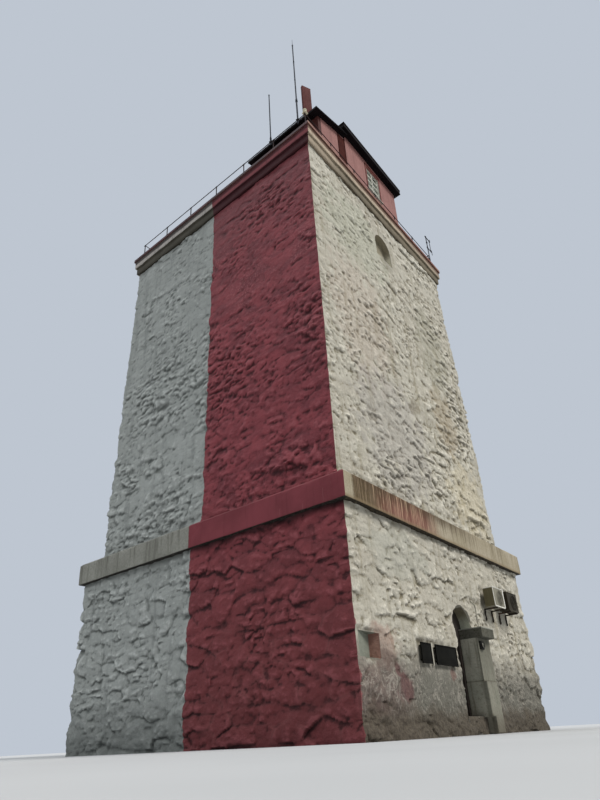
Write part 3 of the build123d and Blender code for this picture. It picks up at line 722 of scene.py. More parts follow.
# Belt course
# A broad band of rendered stone with a weathered top edge, dark streaks of rain down its face
# and old red and brown washes on the entrance side. The corner blocks are stones of their own.
def smooth_ring(name, outline, inner, half, depth, chip, edges, joints=()):
    """Four mitred sides of a nearly smooth band, whose outer outline is given from its lowest point
    up: faint swells, chipped edges and a few open joints."""
    fine = [outline[0]]
    for (out_a, up_a), (out_b, up_b) in zip(outline, outline[1:]):
        steps = max(1, round(math.hypot(out_b - out_a, up_b - up_a) / 0.045))
        fine += [(out_a + (out_b - out_a) * k / steps, up_a + (up_b - up_a) * k / steps)
                 for k in range(1, steps + 1)]
    out, up = np.array(fine).T
    wall = unrolled(half, 2 * round(half / 0.05), up)
    height = depth * (wall.hills(0.55, 0.30, 61) + 0.6 * wall.hills(0.16, 0.12, 62))
    broken = np.clip(wall.hills(0.24, 0.2, 63) * 1.4 - 0.35, 0, 1)
    for edge in edges:
        height -= chip * broken * np.clip(1 - np.abs(wall.up - edge) / 0.07, 0, 1)
    for joint in joints:
        height -= 0.010 * np.clip(1 - np.abs(wall.along - joint) / 0.03, 0, 1)
    return four_sides(name, np.append(out, [inner, inner]), np.append(up, [up[-1], up[0]]), height, {})


BELT_HALF, BELT_LOW, BELT_TOP = 5.570, 5.166, 5.880
belt = smooth_ring("belt_{}_stone", ((BELT_HALF - 0.012, BELT_LOW), (BELT_HALF, BELT_LOW + 0.014),
                                     (BELT_HALF, BELT_TOP - 0.060), (BELT_HALF - 0.060, BELT_TOP)),
                   WALL_INNER, BELT_HALF, 0.004, 0.022, (BELT_LOW, BELT_TOP - 0.05),
                   (0.62, 2 * BELT_HALF - 0.62, 2 * BELT_HALF + 0.34, 4 * BELT_HALF - 0.62))


def band_paint(name, body, dark, pale, red_side=0, washes=False):
    """Rendered stone with rain streaks; red_side says which way along X the red lies, if any does."""
    f = Finish(name, 0.85, gloss=0.3)
    x, y, z = f.axes()
    cloud, grain, fine = f.noise(0.9, 4), f.noise(16, 5, rough=0.6), f.noise(60, 3)
    streak = f.noise(7.0, 4, stretch=(1, 1, 0.06), shift=(2, 1, 0), rough=0.65)
    drip = f.noise(19.0, 3, stretch=(1, 1, 0.04), shift=(5, 3, 0), rough=0.7)
    colour = f.coats(f.mix(cloud.between(0.35, 0.65), body, pale),
                     (grain.between(0.35, 0.75) * 0.4, dark),
                     (streak.between(0.47, 0.66) * (0.45 + z.between(BELT_LOW, BELT_TOP) * 0.35), dark))
    if washes:
        wander = (cloud - 0.5) * 0.8 + (drip - 0.5) * 0.9
        brown = (y + (grain - 0.5) * 0.1).between(-5.26, -5.14) * (1 - (y + wander).between(-5.0, -2.9))
        reddish = (y + wander).between(-5.1, -3.7) * (1 - (y + wander).between(-2.0, -0.4))
        rim = (z + (streak - 0.5) * 0.9).between(BELT_TOP - 0.50, BELT_TOP - 0.02)
        rim = rim * y.between(-5.24, -5.14) * (1 - (y + wander).between(-0.6, 2.6))
        foot = 1 - (z + (grain - 0.5) * 0.08).between(BELT_LOW + 0.03, BELT_LOW + 0.12)
        colour = f.coats(colour,
                         (reddish * 0.85, f.mix(drip.between(0.42, 0.58), (100, 55, 46), (146, 94, 80))),
                         (reddish * streak.between(0.46, 0.62) * 0.6, (112, 62, 54)),
                         (brown * 0.95, f.mix(grain.between(0.3, 0.7), (68, 54, 31), (95, 78, 50))),
                         (brown * drip.between(0.50, 0.60) * 0.55, (52, 38, 22)),
                         (rim * 0.80, (70, 54, 34)),
                         (reddish.most(brown * 0.5) * drip.between(0.53, 0.61) * 0.65, (184, 160, 132)),
                         (foot * 0.6, (140, 122, 94)))
    if red_side:
        red = f.coats(f.mix(cloud.between(0.35, 0.65), (132, 62, 70), (118, 54, 61)),
                      (streak.between(0.50, 0.70) * 0.35, (94, 42, 48)),
                      (drip.between(0.66, 0.70) * 0.25, (176, 128, 128)))
        line = x * red_side - 0.05 + (grain - 0.5) * 0.05
        colour = f.mix(line.between(-0.006, 0.006), colour, red)
    # The underside of the belt is painted nearly black, as painted shade.
    underside = 1 - z.between(BELT_LOW + 0.003, BELT_LOW + 0.014)
    edge = (1 - abs(z - BELT_TOP).between(0.02, 0.09)).most(1 - abs(z - BELT_LOW).between(0.0, 0.03))
    colour = f.coats(colour, (underside, (26, 20, 17) if red_side else (34, 28, 20)),
                     (edge * grain.between(0.45, 0.65) * 0.35, dark))
    f.set(Base_Color=colour, Roughness=0.80 + grain * 0.14)
    f.relief(grain * 0.6 + fine * 0.15 + streak * 0.25, 0.012, 0.8)
    return f.material


shaded_band = ((141, 141, 133), (94, 93, 84), (156, 156, 148))
sunny_band = ((162, 152, 130), (114, 104, 80), (176, 166, 146))
for piece, facing, paint in zip(belt, ("front", "right", "back", "left"), (
        band_paint("front_band_paint", *shaded_band, red_side=1),
        band_paint("entrance_band_paint", *sunny_band, washes=True),
        band_paint("back_band_paint", *shaded_band, red_side=-1),
        band_paint("plain_band_paint", *sunny_band))):
    fix(piece, paint, "belt_stone", "belt_" + facing)


# Cornice
# A stone lip over a deep band of rough render, which has gone olive and brown with damp where
# it hangs over the shaft, and is painted darker still, most at its foot, as the shade under the lip.
CORNICE_LOW, CORNICE_STEP, CORNICE_TOP = 19.080, 19.420, 19.823
cornice = smooth_ring("cornice_{}_stone", (
    (4.850, CORNICE_LOW + 0.030), (4.915, CORNICE_LOW), (4.935, CORNICE_LOW + 0.03), (4.940, CORNICE_STEP),
    (5.000, CORNICE_STEP), (5.005, CORNICE_STEP + 0.012), (5.005, CORNICE_TOP)),
    SHAFT_INNER, 5.005, 0.008, 0.030, (CORNICE_LOW, CORNICE_STEP))


def dimmed(colour, share):
    """A colour with only that share of its light."""
    return tuple(part * share for part in srgb(*colour)[:3]) + (1.0,)


def cornice_paint(name, lip, under, rim, red_side=0):
    """A pale lip with a dark rim over damp-stained render, painted darker as the shade under the lip and
    lighter near the near corner as painted light; or all deep red over the red face, dark below the lip as
    painted shade.
    """
    f = Finish(name, 0.86, gloss=0.3)
    x, y, z = f.axes()
    cloud, grain, fine = f.noise(1.4, 4), f.noise(15, 5, rough=0.62), f.noise(55, 3)
    streak = f.noise(8.0, 4, stretch=(1, 1, 0.08), shift=(4, 2, 0), rough=0.65)
    height = z + (grain - 0.5) * 0.05
    darker = dimmed(under, 0.62)
    # The band under the lip is painted darker as shade, most at its foot, and lighter near the near corner as
    # painted light.
    near_corner = (x - y).between(7.0, 9.4) * (1 - abs(y).between(4.93, 4.95))
    low = f.coats(f.mix(cloud.between(0.40, 0.66) * 0.7, under, darker),
                  ((1 - height.between(CORNICE_LOW + 0.05, CORNICE_LOW + 0.24)) * 0.6, darker),
                  (near_corner * 0.6, lip),
                  (streak.between(0.5, 0.66) * 0.4, darker))
    top = f.coats(f.mix(cloud.between(0.4, 0.65) * 0.6, lip, dimmed(lip, 0.8)),
                  (streak.between(0.52, 0.66) * 0.4, rim),
                  ((x + y).between(5.4, 8.6) * 0.6, dimmed(lip, 0.6)),
                  (height.between(19.60, 19.66), rim))
    colour = f.mix(height.between(CORNICE_STEP, CORNICE_STEP + 0.04), low, top)
    if red_side:
        # On the red face the band below the lip is painted dark as shade.
        red = f.coats(f.mix(height.between(CORNICE_STEP, CORNICE_STEP + 0.05), (62, 26, 30), (128, 66, 71)),
                      (height.between(19.60, 19.66), (82, 40, 44)),
                      (streak.between(0.5, 0.7) * 0.35, (74, 32, 36)))
        line = x * red_side - 0.04 + (grain - 0.5) * 0.06
        colour = f.mix(line.between(-0.01, 0.01), colour, red)
    f.set(Base_Color=colour, Roughness=0.80 + grain * 0.15)
    f.relief(grain * 0.65 + fine * 0.15 + cloud * 0.2, 0.03, 0.8)
    return f.material


shaded_lip = ((186, 180, 174), (84, 80, 70), (88, 82, 80))
sunny_lip = ((184, 168, 148), (126, 116, 98), (112, 88, 74))
for piece, facing, paint in zip(cornice, ("front", "right", "back", "left"), (
        cornice_paint("front_cornice_paint", *shaded_lip, red_side=1),
        cornice_paint("entrance_cornice_paint", *sunny_lip),
        cornice_paint("back_cornice_paint", *shaded_lip, red_side=-1),
        cornice_paint("left_cornice_paint", *sunny_lip))):
    fix(piece, paint, "cornice_stone", "cornice_" + facing)


# Ground floor
# A floor of worn stone slabs inside the walls, which runs out through the doorway as its sill.
def dress(paint, *nodes):
    """Gives a finish to solids that keep their own shape."""
    for node in nodes:
        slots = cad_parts[node].data.materials
        slots.clear()
        slots.append(paint)


flags = Finish("worn_flagstones", 0.8)
cloud, grain = flags.noise(1.2, 3), flags.noise(22, 5, rough=0.62)
slabs = flags.node("ShaderNodeTexBrick", {"offset": 0.5}, {
    "Vector": flags.at, "Scale": 1.0, "Mortar Size": 0.012, "Brick Width": 0.84, "Row Height": 0.56,
    "Color1": srgb(112, 108, 98), "Color2": srgb(94, 91, 84), "Mortar": srgb(58, 54, 48)})
flags.set(Base_Color=flags.coats(slabs, (cloud * 0.35, (72, 64, 54)),
                                 (grain.between(0.4, 0.7) * 0.4, (60, 56, 48))))
flags.relief(grain * 0.6 + cloud * 0.4, 0.012)
dress(flags.material, "ground_floor")


# Deck slab and covering
# A concrete slab inside the cornice under sheets of painted metal, whose edge is turned down over
# the cornice in a folded strip nailed all the way round.
def rod(start, end, radius, sides=14, end_radius=None, edge=0.0, segments=2):
    """A round bar from one point to another, which may taper, with eased ends where a width is
    given for them."""
    start, end = Vector(start), Vector(end)
    run = end - start
    bar = primitive(bpy.ops.mesh.primitive_cone_add, vertices=sides, radius1=radius,
                    radius2=radius if end_radius is None else end_radius, depth=run.length,
                    location=(start + end) / 2, rotation=run.to_track_quat("Z", "Y").to_euler())
    return eased(bar, edge, segments) if edge else bar


def post(x, y, low, high, *sizes, **edges):
    """A round bar that stands upright."""
    return rod((x, y, low), (x, y, high), *sizes, **edges)


def screw(start, end, radius, sides=6, end_radius=None):
    """The head of a bolt, a screw or a stud."""
    return rod(start, end, radius, sides, end_radius, 0.002, 1)


def hoop(low, high, thick, edge, segments=2):
    """A block between two corners with its middle cut out, which leaves a thin band round it."""
    (x, y, z), (x_end, y_end, z_end) = low, high
    middle = block((x + thick, y + thick, z - 0.1), (x_end - thick, y_end - thick, z_end + 0.1))
    return eased(cut(block(low, high), middle), edge, segments)


def repeat(parts, *places):
    """Copies of every part, each with a mesh of its own, moved and turned by its matrix."""
    made = []
    for part in parts:
        for place in places:
            twin = part.copy()
            twin.data = part.data.copy()
            twin.data.transform(place)
            bpy.context.collection.objects.link(twin)
            made.append(twin)
        bpy.data.objects.remove(part)
    return made


def joined(parts):
    bpy.ops.object.select_all(action="DESELECT")
    for part in parts:
        part.select_set(True)
    bpy.context.view_layer.objects.active = parts[0]
    if len(parts) > 1:
        bpy.ops.object.join()
    return bpy.context.object


def gather(name, parts, paint, slot, *nodes, body="tower", angle=38):
    """Makes one piece of its parts, gives it its finish and fixes it to its body."""
    piece = joined(parts)
    piece.name = piece.data.name = name
    bpy.ops.object.shade_smooth_by_angle(angle=math.radians(angle))
    fix(piece, paint, slot, *nodes, body=body)


def old_paint(name, fresh, faded, bare, share, roughness, metallic=0.0, fineness=1.0, streaks=0.0, gloss=0.08):
    """Weathered paint on metal or wood: faded patches, rain streaks and chips down to what is
    under it."""
    f = Finish(name, roughness, metallic, gloss)
    cloud, grain = f.noise(1.6 * fineness, 4), f.noise(17 * fineness, 5, rough=0.62)
    rain = f.noise(9 * fineness, 4, stretch=(1, 1, 0.06), rough=0.65)
    chipped = (grain + (cloud - 0.5) * 0.5).between(0.66 - 0.12 * share, 0.72 - 0.10 * share)
    f.set(Base_Color=f.coats(f.mix(cloud.between(0.36, 0.64), fresh, faded),
                             (grain.between(0.45, 0.75) * 0.35, dimmed(fresh, 0.55)),
                             (rain.between(0.48, 0.68) * streaks, dimmed(fresh, 0.42)),
                             (chipped, bare)),
          Roughness=roughness + (grain - 0.5) * 0.3)
    f.relief(grain * 0.7 + f.noise(80 * fineness, 3) * 0.3, 0.004 / fineness, 0.7)
    return f.material


DECK_TOP = 19.933
dress(old_paint("deck_concrete", (132, 128, 118), (148, 144, 134), (104, 98, 88), 0.6, 0.9), "deck_slab")

sheeting = Finish("deck_sheeting", 0.6)
cloud, grain = sheeting.noise(0.7, 4), sheeting.noise(14, 5, rough=0.62)
SHEET_WIDTH = 0.84
across_sheet = sheeting.node("ShaderNodeMath", {"operation": "FRACT"}, {0: sheeting.axes()[0] / SHEET_WIDTH})
to_seam = abs(across_sheet - 0.5)
sheeting.set(Base_Color=sheeting.coats(sheeting.mix(cloud.between(0.38, 0.62), (112, 74, 66), (128, 92, 82)),
                                       (grain.between(0.5, 0.7) * 0.5, (84, 70, 60)),
                                       (to_seam.between(0.485, 0.495), (58, 36, 34))))
sheeting.relief(grain * 0.4 + to_seam.between(0.47, 0.49) * 0.6, 0.010)
dress(sheeting.material, "deck_covering")

edge_paint = Finish("deck_edge_paint", 0.6, gloss=0.2)
x, y = edge_paint.axes()[:2]
patches, grain = edge_paint.noise(1.6, 4).between(0.38, 0.62), edge_paint.noise(16, 5, rough=0.62)
# The sides along X are painted salmon and the front and back dark maroon: the one sheet painted as lit and as
# in shade.
sunlit_salmon_edge = edge_paint.mix(patches, (122, 78, 66), (146, 106, 90))
edge_paint.set(Base_Color=edge_paint.coats(edge_paint.mix(patches, (62, 40, 42), (82, 50, 52)),
                                           ((abs(x) - abs(y)).between(-0.02, 0.02), sunlit_salmon_edge),
                                           (grain.between(0.52, 0.68) * 0.55, (74, 44, 40))))
edge_paint.relief(grain, 0.004)
nail = rod((0, -5.049, DECK_TOP - 0.03), (0, -5.055, DECK_TOP - 0.03), 0.009, 8, 0.006)
nails = repeat([nail], *[turned(90 * side) @ Matrix.Translation((0.35 * i - 4.9, 0, 0))
                         for side in range(4) for i in range(29)])
gather("deck_edge_strip", [
    hoop((-5.050, -5.050, DECK_TOP - 0.122), (5.050, 5.050, DECK_TOP + 0.004), 0.013, 0.002, 1),
    hoop((-5.058, -5.058, DECK_TOP - 0.128), (5.058, 5.058, DECK_TOP - 0.112), 0.018, 0.004)] + nails,
    edge_paint.material, "deck_sheet")


# Railing
# Steel posts on foot plates bolted through the deck, with a top rail held in sleeves and a single
# wire half way up. The paint is nearly black and rust comes through it.
rail_paint = old_paint("rail_paint", (40, 33, 34), (56, 44, 43), (88, 56, 46), 0.5, 0.7, fineness=2.0)
dress(rail_paint, "railing_front", "railing_back", "railing_left", "railing_right")
RAIL_HALF, FOOT_TOP, WIRE_Z, RAIL_Z = 4.757, DECK_TOP + 0.012, 20.420, 20.890
RAIL_BAY = RAIL_HALF / 3
fixings = [post(0, 0, FOOT_TOP, FOOT_TOP + 0.045, 0.032, 16, 0.026, 0.004),
           post(0, 0, WIRE_Z - 0.022, WIRE_Z + 0.022, 0.027, 12, edge=0.005),
           rod((-0.062, 0, RAIL_Z), (0.062, 0, RAIL_Z), 0.0225, 12, edge=0.004)]
fixings += [screw((x, y, FOOT_TOP), (x, y, FOOT_TOP + 0.014), 0.011)
            for x in (-0.042, 0.042) for y in (-0.042, 0.042)]
gather("railing_fixings", repeat([joined(fixings)], *[
    turned(90 * side) @ Matrix.Translation((RAIL_BAY * i - RAIL_HALF, -RAIL_HALF, 0))
    for side in range(4) for i in range(6)]), rail_paint, "rail_steel")


# Lantern house walls
# Two rooms of smooth render painted salmon, the front of the low one deep red and painted darker
# still as shade, with a board over the joint between the rooms, painted nearly black for the shaded
# end of the high room, and a plinth strip.
def house_paint(name, fresh, faded, grime):
    """Flat paint with rain streaks, a dirty foot and, beside the joint of the rooms, a painted shadow cast by
    the high room.
    """
    f = Finish(name, 0.85, gloss=0.3)
    y, z = f.axes()[1:]
    cloud, patch = f.noise(0.5, 4), f.noise(2.6, 4, shift=(2, 5, 1))
    grain, fine = f.noise(18, 5, rough=0.6), f.noise(70, 3)
    rain = f.noise(5.5, 4, stretch=(1, 1, 0.07), rough=0.65)
    # painted shadow that the high room casts on the wall beside the joint of the rooms, broken by rain streaks
    joint_shadow = (y + (patch - 0.5) * 0.25).between(-2.05, -1.75) * (1 - y.between(-1.5, -1.4))
    f.set(Base_Color=f.coats(f.mix((cloud * 0.6 + patch * 0.4).between(0.40, 0.62), fresh, faded),
                             (grain.between(0.45, 0.75) * 0.30, grime),
                             (rain.between(0.50, 0.70) * z.between(20.4, 23.6) * 0.5, grime),
                             ((1 - z.between(19.9, 20.5)) * patch.between(0.35, 0.65) * 0.6, grime),
                             (joint_shadow * rain.between(0.35, 0.60) * 0.65, (104, 82, 74))),
          Roughness=0.80 + grain * 0.15)
    f.relief(grain * 0.55 + fine * 0.15 + patch * 0.30, 0.010, 0.8)
    return f.material


dress(house_paint("house_paint", (148, 104, 99), (158, 114, 109), (104, 70, 66)),
      "high_house_right_wall", "high_house_left_wall", "high_house_back_wall", "high_house_front_wall",
      "low_house_right_wall", "low_house_left_wall")
# The front of the low room is painted dark red, its own paint darkened further as painted shade.
dress(house_paint("house_front_paint", (72, 34, 30), (84, 42, 37), (40, 20, 20)), "low_house_front_wall")
LEFT, LOW_RIGHT, HIGH_RIGHT, LOW_FRONT, HIGH_FRONT, BACK = 0.850, 4.275, 4.320, -3.170, -1.230, 2.925
# The boards at the joint of the rooms are painted nearly black for the shaded end of the high room beside
# them; the plinth strips share this paint.
board_and_shade_paint = old_paint("corner_board_paint", (66, 31, 27), (76, 38, 33), (52, 33, 29), 0.3, 0.8,
                        streaks=0.4, gloss=0.02)
gather("corner_boards", [
    block((x, front, DECK_TOP), (x + thick, back, top), 0.005)
    for x, thick, front, back, top in ((LOW_RIGHT, 0.026, -1.760, -1.254, 23.480),
                                       (LOW_RIGHT, 0.040, -1.300, -1.256, 23.600),
                                       (LEFT - 0.026, 0.026, -1.760, -1.254, 23.480),
                                       (LEFT - 0.040, 0.040, -1.300, -1.256, 23.600))],
       board_and_shade_paint, "house_render")
PLINTH, LOW_PLINTH_BACK = 0.016, -1.535
gather("house_plinth_strips", [
    block((*low, DECK_TOP), (*high, 20.080), 0.004)
    for low, high in (((HIGH_RIGHT, HIGH_FRONT), (HIGH_RIGHT + PLINTH, BACK + PLINTH)),
                      ((LEFT - PLINTH, HIGH_FRONT), (LEFT, BACK + PLINTH)),
                      ((LEFT - PLINTH, BACK), (HIGH_RIGHT + PLINTH, BACK + PLINTH)),
                      ((LOW_RIGHT, LOW_FRONT - PLINTH), (LOW_RIGHT + PLINTH, LOW_PLINTH_BACK)),
                      ((LEFT - PLINTH, LOW_FRONT - PLINTH), (LEFT, LOW_PLINTH_BACK)),
                      ((LEFT - PLINTH, LOW_FRONT - PLINTH), (LOW_RIGHT + PLINTH, LOW_FRONT)))],
       board_and_shade_paint, "house_render")


# Roofs of the lantern house
# Folded black sheet metal on boards: a flat roof over the high room and a lean-to over the low
# one, with standing seams, a turned-down edge and bearers under the eaves.
roof_paint = Finish("roof_paint", 0.7, gloss=0.04)
cloud, grain = roof_paint.noise(0.9, 4), roof_paint.noise(15, 5, rough=0.62)
black = roof_paint.mix(cloud.between(0.38, 0.62), (16, 12, 14), (25, 20, 22))
roof_paint.set(Base_Color=roof_paint.mix(grain.between(0.58, 0.70) * 0.4, black, (44, 33, 30)),
               Roughness=0.62 + grain * 0.3)
roof_paint.relief(grain * 0.6 + cloud * 0.4, 0.006)
dress(roof_paint.material, "high_house_roof", "low_house_roof")
ROOF_TOP, ROOF_LOW = 24.100, 23.810
high_trim = [hoop((0.606, -1.634, ROOF_TOP - 0.075), (4.604, 3.119, ROOF_TOP + 0.006), 0.016, 0.003),
             hoop((0.610, -1.630, ROOF_LOW - 0.004), (4.600, 3.115, ROOF_LOW + 0.045), 0.008, 0.003)]
high_trim += [block((0.640, y - 0.010, ROOF_TOP - 0.004), (4.570, y + 0.010, ROOF_TOP + 0.030), 0.004)
              for y in (-1.02, -0.42, 0.18, 0.78, 1.38, 1.98, 2.58)]
high_trim += [block((x, -1.600, ROOF_LOW - 0.012), (x + 0.05, 3.085, ROOF_LOW + 0.002), 0.004)
              for x in (0.66, 4.36, 4.50)]
gather("high_roof_edges_and_seams", high_trim, roof_paint.material, "roof_sheet")
EAVE_Y, EAVE_TOP, RISE = -3.520, 23.070, 0.32


def up_the_slope(x, start, end, over, radius):
    """A square bar along the lean-to roof, that far over its sloping top."""
    ends = [(x, y, EAVE_TOP + (y - EAVE_Y) * RISE + over) for y in (start, end)]
    return rod(*ends, radius, 4, edge=0.004)


low_trim = [up_the_slope(x, EAVE_Y - 0.012, -1.30, 0.004, 0.022)
            for x in (0.69, 1.28, 1.88, 2.48, 3.08, 3.68, 4.48)]
low_trim.append(block((0.662, EAVE_Y - 0.016, EAVE_TOP - 0.118),
                      (4.508, EAVE_Y - 0.002, EAVE_TOP + 0.008), 0.004))
low_trim += [up_the_slope(x, EAVE_Y - 0.004, -1.262, -0.072, 0.038) for x in (0.690, 4.480)]
low_trim += [up_the_slope(x, EAVE_Y + 0.03, -3.19, -0.120, 0.030)
             for x in (0.95, 1.55, 2.15, 2.75, 3.35, 4.15)]
gather("low_roof_edges_and_seams", low_trim, roof_paint.material, "roof_sheet")


# Windows
# Painted wooden frames of eight small panes with a red-brown casing nailed round them and a sill
# that throws the rain clear. The panes are old glass in front of a dim room.
old_white = old_paint("window_white", (196, 196, 184), (206, 206, 196), (140, 132, 112), 0.4, 0.6,
                      fineness=2.0, streaks=0.25)
dress(old_white, "window_frames")
glass = Finish("old_glass", 0.12)
cloud = glass.noise(2.2, 3)
glass.set(Base_Color=glass.coats(glass.mix(cloud.between(0.4, 0.6), (118, 132, 124), (140, 152, 144)),
                                 # The top row of panes is painted dark, as the shadow of the eave.
                                 (glass.axes()[2].between(22.95, 23.10) * 0.8, (44, 34, 34))),
          Roughness=0.08 + cloud * 0.1)
glass.relief(glass.noise(5, 2), 0.002)
dress(glass.material, "window_glass")
casing_paint = old_paint("casing_paint", (104, 56, 52), (120, 68, 62), (70, 44, 38), 0.4, 0.65,
                         fineness=2.0, streaks=0.3)
WINDOW_Y, WINDOW_LOW, WINDOW_HIGH = 0.8895, 21.950, 23.450
NEAR_JAMB, FAR_JAMB = WINDOW_Y - 0.510, WINDOW_Y + 0.510
middle = (2.585, WINDOW_Y, 0)
round_house = (turned(0), turned(180, middle), Matrix.Translation((0, 0.3005, 0)) @ turned(90, middle))


def board_on_wall(start, end, low, high, out, edge=0.004, segments=2, sunk=0.0):
    """A board against the wall beside the window, from one jamb's side to the other's."""
    return block((HIGH_RIGHT - sunk, start, low), (HIGH_RIGHT + out, end, high), edge, segments)


casing = [board_on_wall(NEAR_JAMB - 0.085, NEAR_JAMB + 0.004, WINDOW_LOW - 0.01, WINDOW_HIGH + 0.085, 0.024),
          board_on_wall(FAR_JAMB - 0.004, FAR_JAMB + 0.085, WINDOW_LOW - 0.01, WINDOW_HIGH + 0.085, 0.024),
          board_on_wall(NEAR_JAMB - 0.085, FAR_JAMB + 0.085, WINDOW_HIGH - 0.004, WINDOW_HIGH + 0.088, 0.026),
          board_on_wall(NEAR_JAMB - 0.11, FAR_JAMB + 0.11, WINDOW_HIGH + 0.086, WINDOW_HIGH + 0.112,
                        0.055, 0.006)]
gather("window_casings", repeat(casing, *round_house), casing_paint, "window_wood")
sill = board_on_wall(NEAR_JAMB - 0.10, FAR_JAMB + 0.10, WINDOW_LOW - 0.048, WINDOW_LOW - 0.004, 0.075,
                     0.008, 3, sunk=0.030)
sash = board_on_wall(FAR_JAMB - 0.022, FAR_JAMB - 0.002, WINDOW_LOW, WINDOW_HIGH, -0.002, 0.003, sunk=0.044)
gather("window_sills", repeat([sill, sash], *round_house), old_white, "window_wood")


# Whip aerials
# Two rod aerials in front of the eave, each clamped to it at its foot: the tall one on a steel
# pipe with a collar, the short one on a ribbed insulator.
aerial_grey = old_paint("aerial_grey", (44, 48, 56), (56, 61, 70), (92, 92, 90), 0.25, 0.6, fineness=3.0)
TALL_X, SHORT_X, MAST_Y, CLAMP_LOW = 3.580, 2.080, -3.600, 22.985


def eave_clamp(x):
    """A block against the eave and two jaws in front of the pipe, held by four bolts."""
    parts = [block((x - 0.065, MAST_Y + 0.012, CLAMP_LOW),
                   (x + 0.065, EAVE_Y - 0.001, CLAMP_LOW + 0.070), 0.006)]
    parts += [block((x - 0.065, MAST_Y - 0.052, z), (x + 0.065, MAST_Y - 0.036, z + 0.024), 0.004)
              for z in (CLAMP_LOW + 0.006, CLAMP_LOW + 0.040)]
    for side in (x - 0.052, x + 0.052):
        for z in (CLAMP_LOW + 0.018, CLAMP_LOW + 0.052):
            parts += [rod((side, MAST_Y - 0.060, z), (side, MAST_Y + 0.02, z), 0.006, 8),
                      screw((side, MAST_Y - 0.062, z), (side, MAST_Y - 0.052, z), 0.011)]
    return parts


tall = eave_clamp(TALL_X)
tall += [post(TALL_X, MAST_Y, *sizes) for sizes in (
    (22.775, 24.250, 0.035, 20, None, 0.004), (24.210, 24.350, 0.052, 20, 0.046, 0.008, 3),
    (24.340, 24.470, 0.040, 20, 0.027), (24.440, 28.300, 0.030, 16, 0.026),
    (28.290, 28.345, 0.026, 16, 0.010), (28.330, 28.730, 0.010, 10, 0.006))]
tall += [post(TALL_X, MAST_Y, z, z + 0.045, 0.034, 16, edge=0.005) for z in (25.70, 27.00, 28.24)]
tall += [screw((TALL_X, MAST_Y - 0.060, z), (TALL_X, MAST_Y - 0.040, z), 0.010) for z in (24.240, 24.315)]
short = eave_clamp(SHORT_X)
short += [post(SHORT_X, MAST_Y, *sizes) for sizes in (
    (22.845, 22.930, 0.030, 16, None, 0.004), (22.915, 23.335, 0.034, 20),
    (23.320, 26.225, 0.027, 14, 0.024), (26.200, 26.260, 0.029, 14, None, 0.008, 3))]
short += [post(SHORT_X, MAST_Y, 22.950 + rib, 22.990 + rib, 0.046, 20, 0.036, 0.006, 3)
          for rib in (0, 0.062, 0.124, 0.186, 0.248, 0.310)]
gather("whip_aerial_rods", tall + short, aerial_grey, "aerial_metal", "whip_aerials")


# Panel aerial
# A flat plastic shell with a cap at each end, painted brown, on a steel pole that stands on the
# lean-to roof; it is turned out of the tower's axes.
shell_brown = old_paint("shell_brown", (92, 52, 50), (102, 60, 58), (80, 50, 47), 0.4, 0.8,
                        fineness=1.5, streaks=0.3)
panel_place = Matrix.Translation((3.810, -3.180, 23.560)) @ turned(-25)
panel = [block((-0.063, -0.213, 0.012), (0.063, 0.213, 1.828), 0.030, 4),
         block((-0.066, -0.216, 0.0), (0.066, 0.216, 0.055), 0.026, 4),
         block((-0.066, -0.216, 1.785), (0.066, 0.216, 1.840), 0.026, 4),
         block((-0.074, -0.060, 0.22), (-0.060, 0.060, 0.34), 0.004),
         block((-0.074, -0.060, 1.32), (-0.060, 0.060, 1.44), 0.004)]
panel += [post(0, y, -0.050, 0.010, 0.016, 12, edge=0.004) for y in (-0.12, 0.0, 0.12)]
panel += [block((-0.0665, y - 0.004, 0.10), (0.0645, y + 0.004, 1.74), 0.002, 1) for y in (-0.105, 0.105)]
gather("panel_aerial_shell", repeat(panel, panel_place), shell_brown, "panel_shell", "panel_aerial")
dress(aerial_grey, "panel_pole")
bands = [post(-0.140, 0, z, z + 0.022, 0.044, 20, edge=0.004) for z in (0.19, 0.25, 0.31, 1.29, 1.35, 1.41)]
bands.append(post(-0.140, 0, -0.515, -0.415, 0.085, 24, 0.048, 0.010, 3))
gather("panel_pole_bands", repeat(bands, panel_place), aerial_grey, "aerial_metal")


# Loop aerial
# A folded loop of tube on a short mast, clamped to the far corner post of the railing.
LOOP, LOOP_END, ARM_HEIGHTS = 4.802, 5.142, (21.420, 22.140)
tube = [post(LOOP, LOOP, 20.300, 22.210, 0.022, 16, edge=0.005),
        post(LOOP, LOOP_END, 21.400, 22.160, 0.015, 12, edge=0.004),
        block((RAIL_HALF, RAIL_HALF, 20.6555), (LOOP + 0.012, LOOP + 0.012, 20.7255), 0.006)]
tube += [rod((LOOP, LOOP - 0.10, z), (LOOP, LOOP_END + 0.10, z), 0.020, 12, edge=0.004) for z in ARM_HEIGHTS]
tube += [post(LOOP, LOOP_END + 0.092, z - below, z + 0.15, 0.014, 12, edge=0.004)
         for z, below in zip(ARM_HEIGHTS, (0.16, 0.03))]
gather("loop_aerial_tube", tube, aerial_grey, "aerial_metal", "loop_aerial")
clamps = [post(LOOP, LOOP, z - 0.03, z + 0.03, 0.031, 14, edge=0.005) for z in ARM_HEIGHTS]
clamps += [rod((LOOP, LOOP + 0.310, z), (LOOP, LOOP + 0.350, z), 0.023, 12, edge=0.005) for z in ARM_HEIGHTS]
clamps += [post(LOOP, LOOP, z, z + 0.03, 0.029, 14, edge=0.004) for z in (20.62, 20.735)]
clamps += [post(LOOP, LOOP, 22.205, 22.222, 0.020, 14, 0.012, 0.004),
           block((LOOP - 0.030, LOOP - 0.030, 21.74), (LOOP + 0.030, LOOP + 0.045, 21.82), 0.008, 3)]
gather("loop_aerial_clamps", clamps, aerial_grey, "aerial_metal")


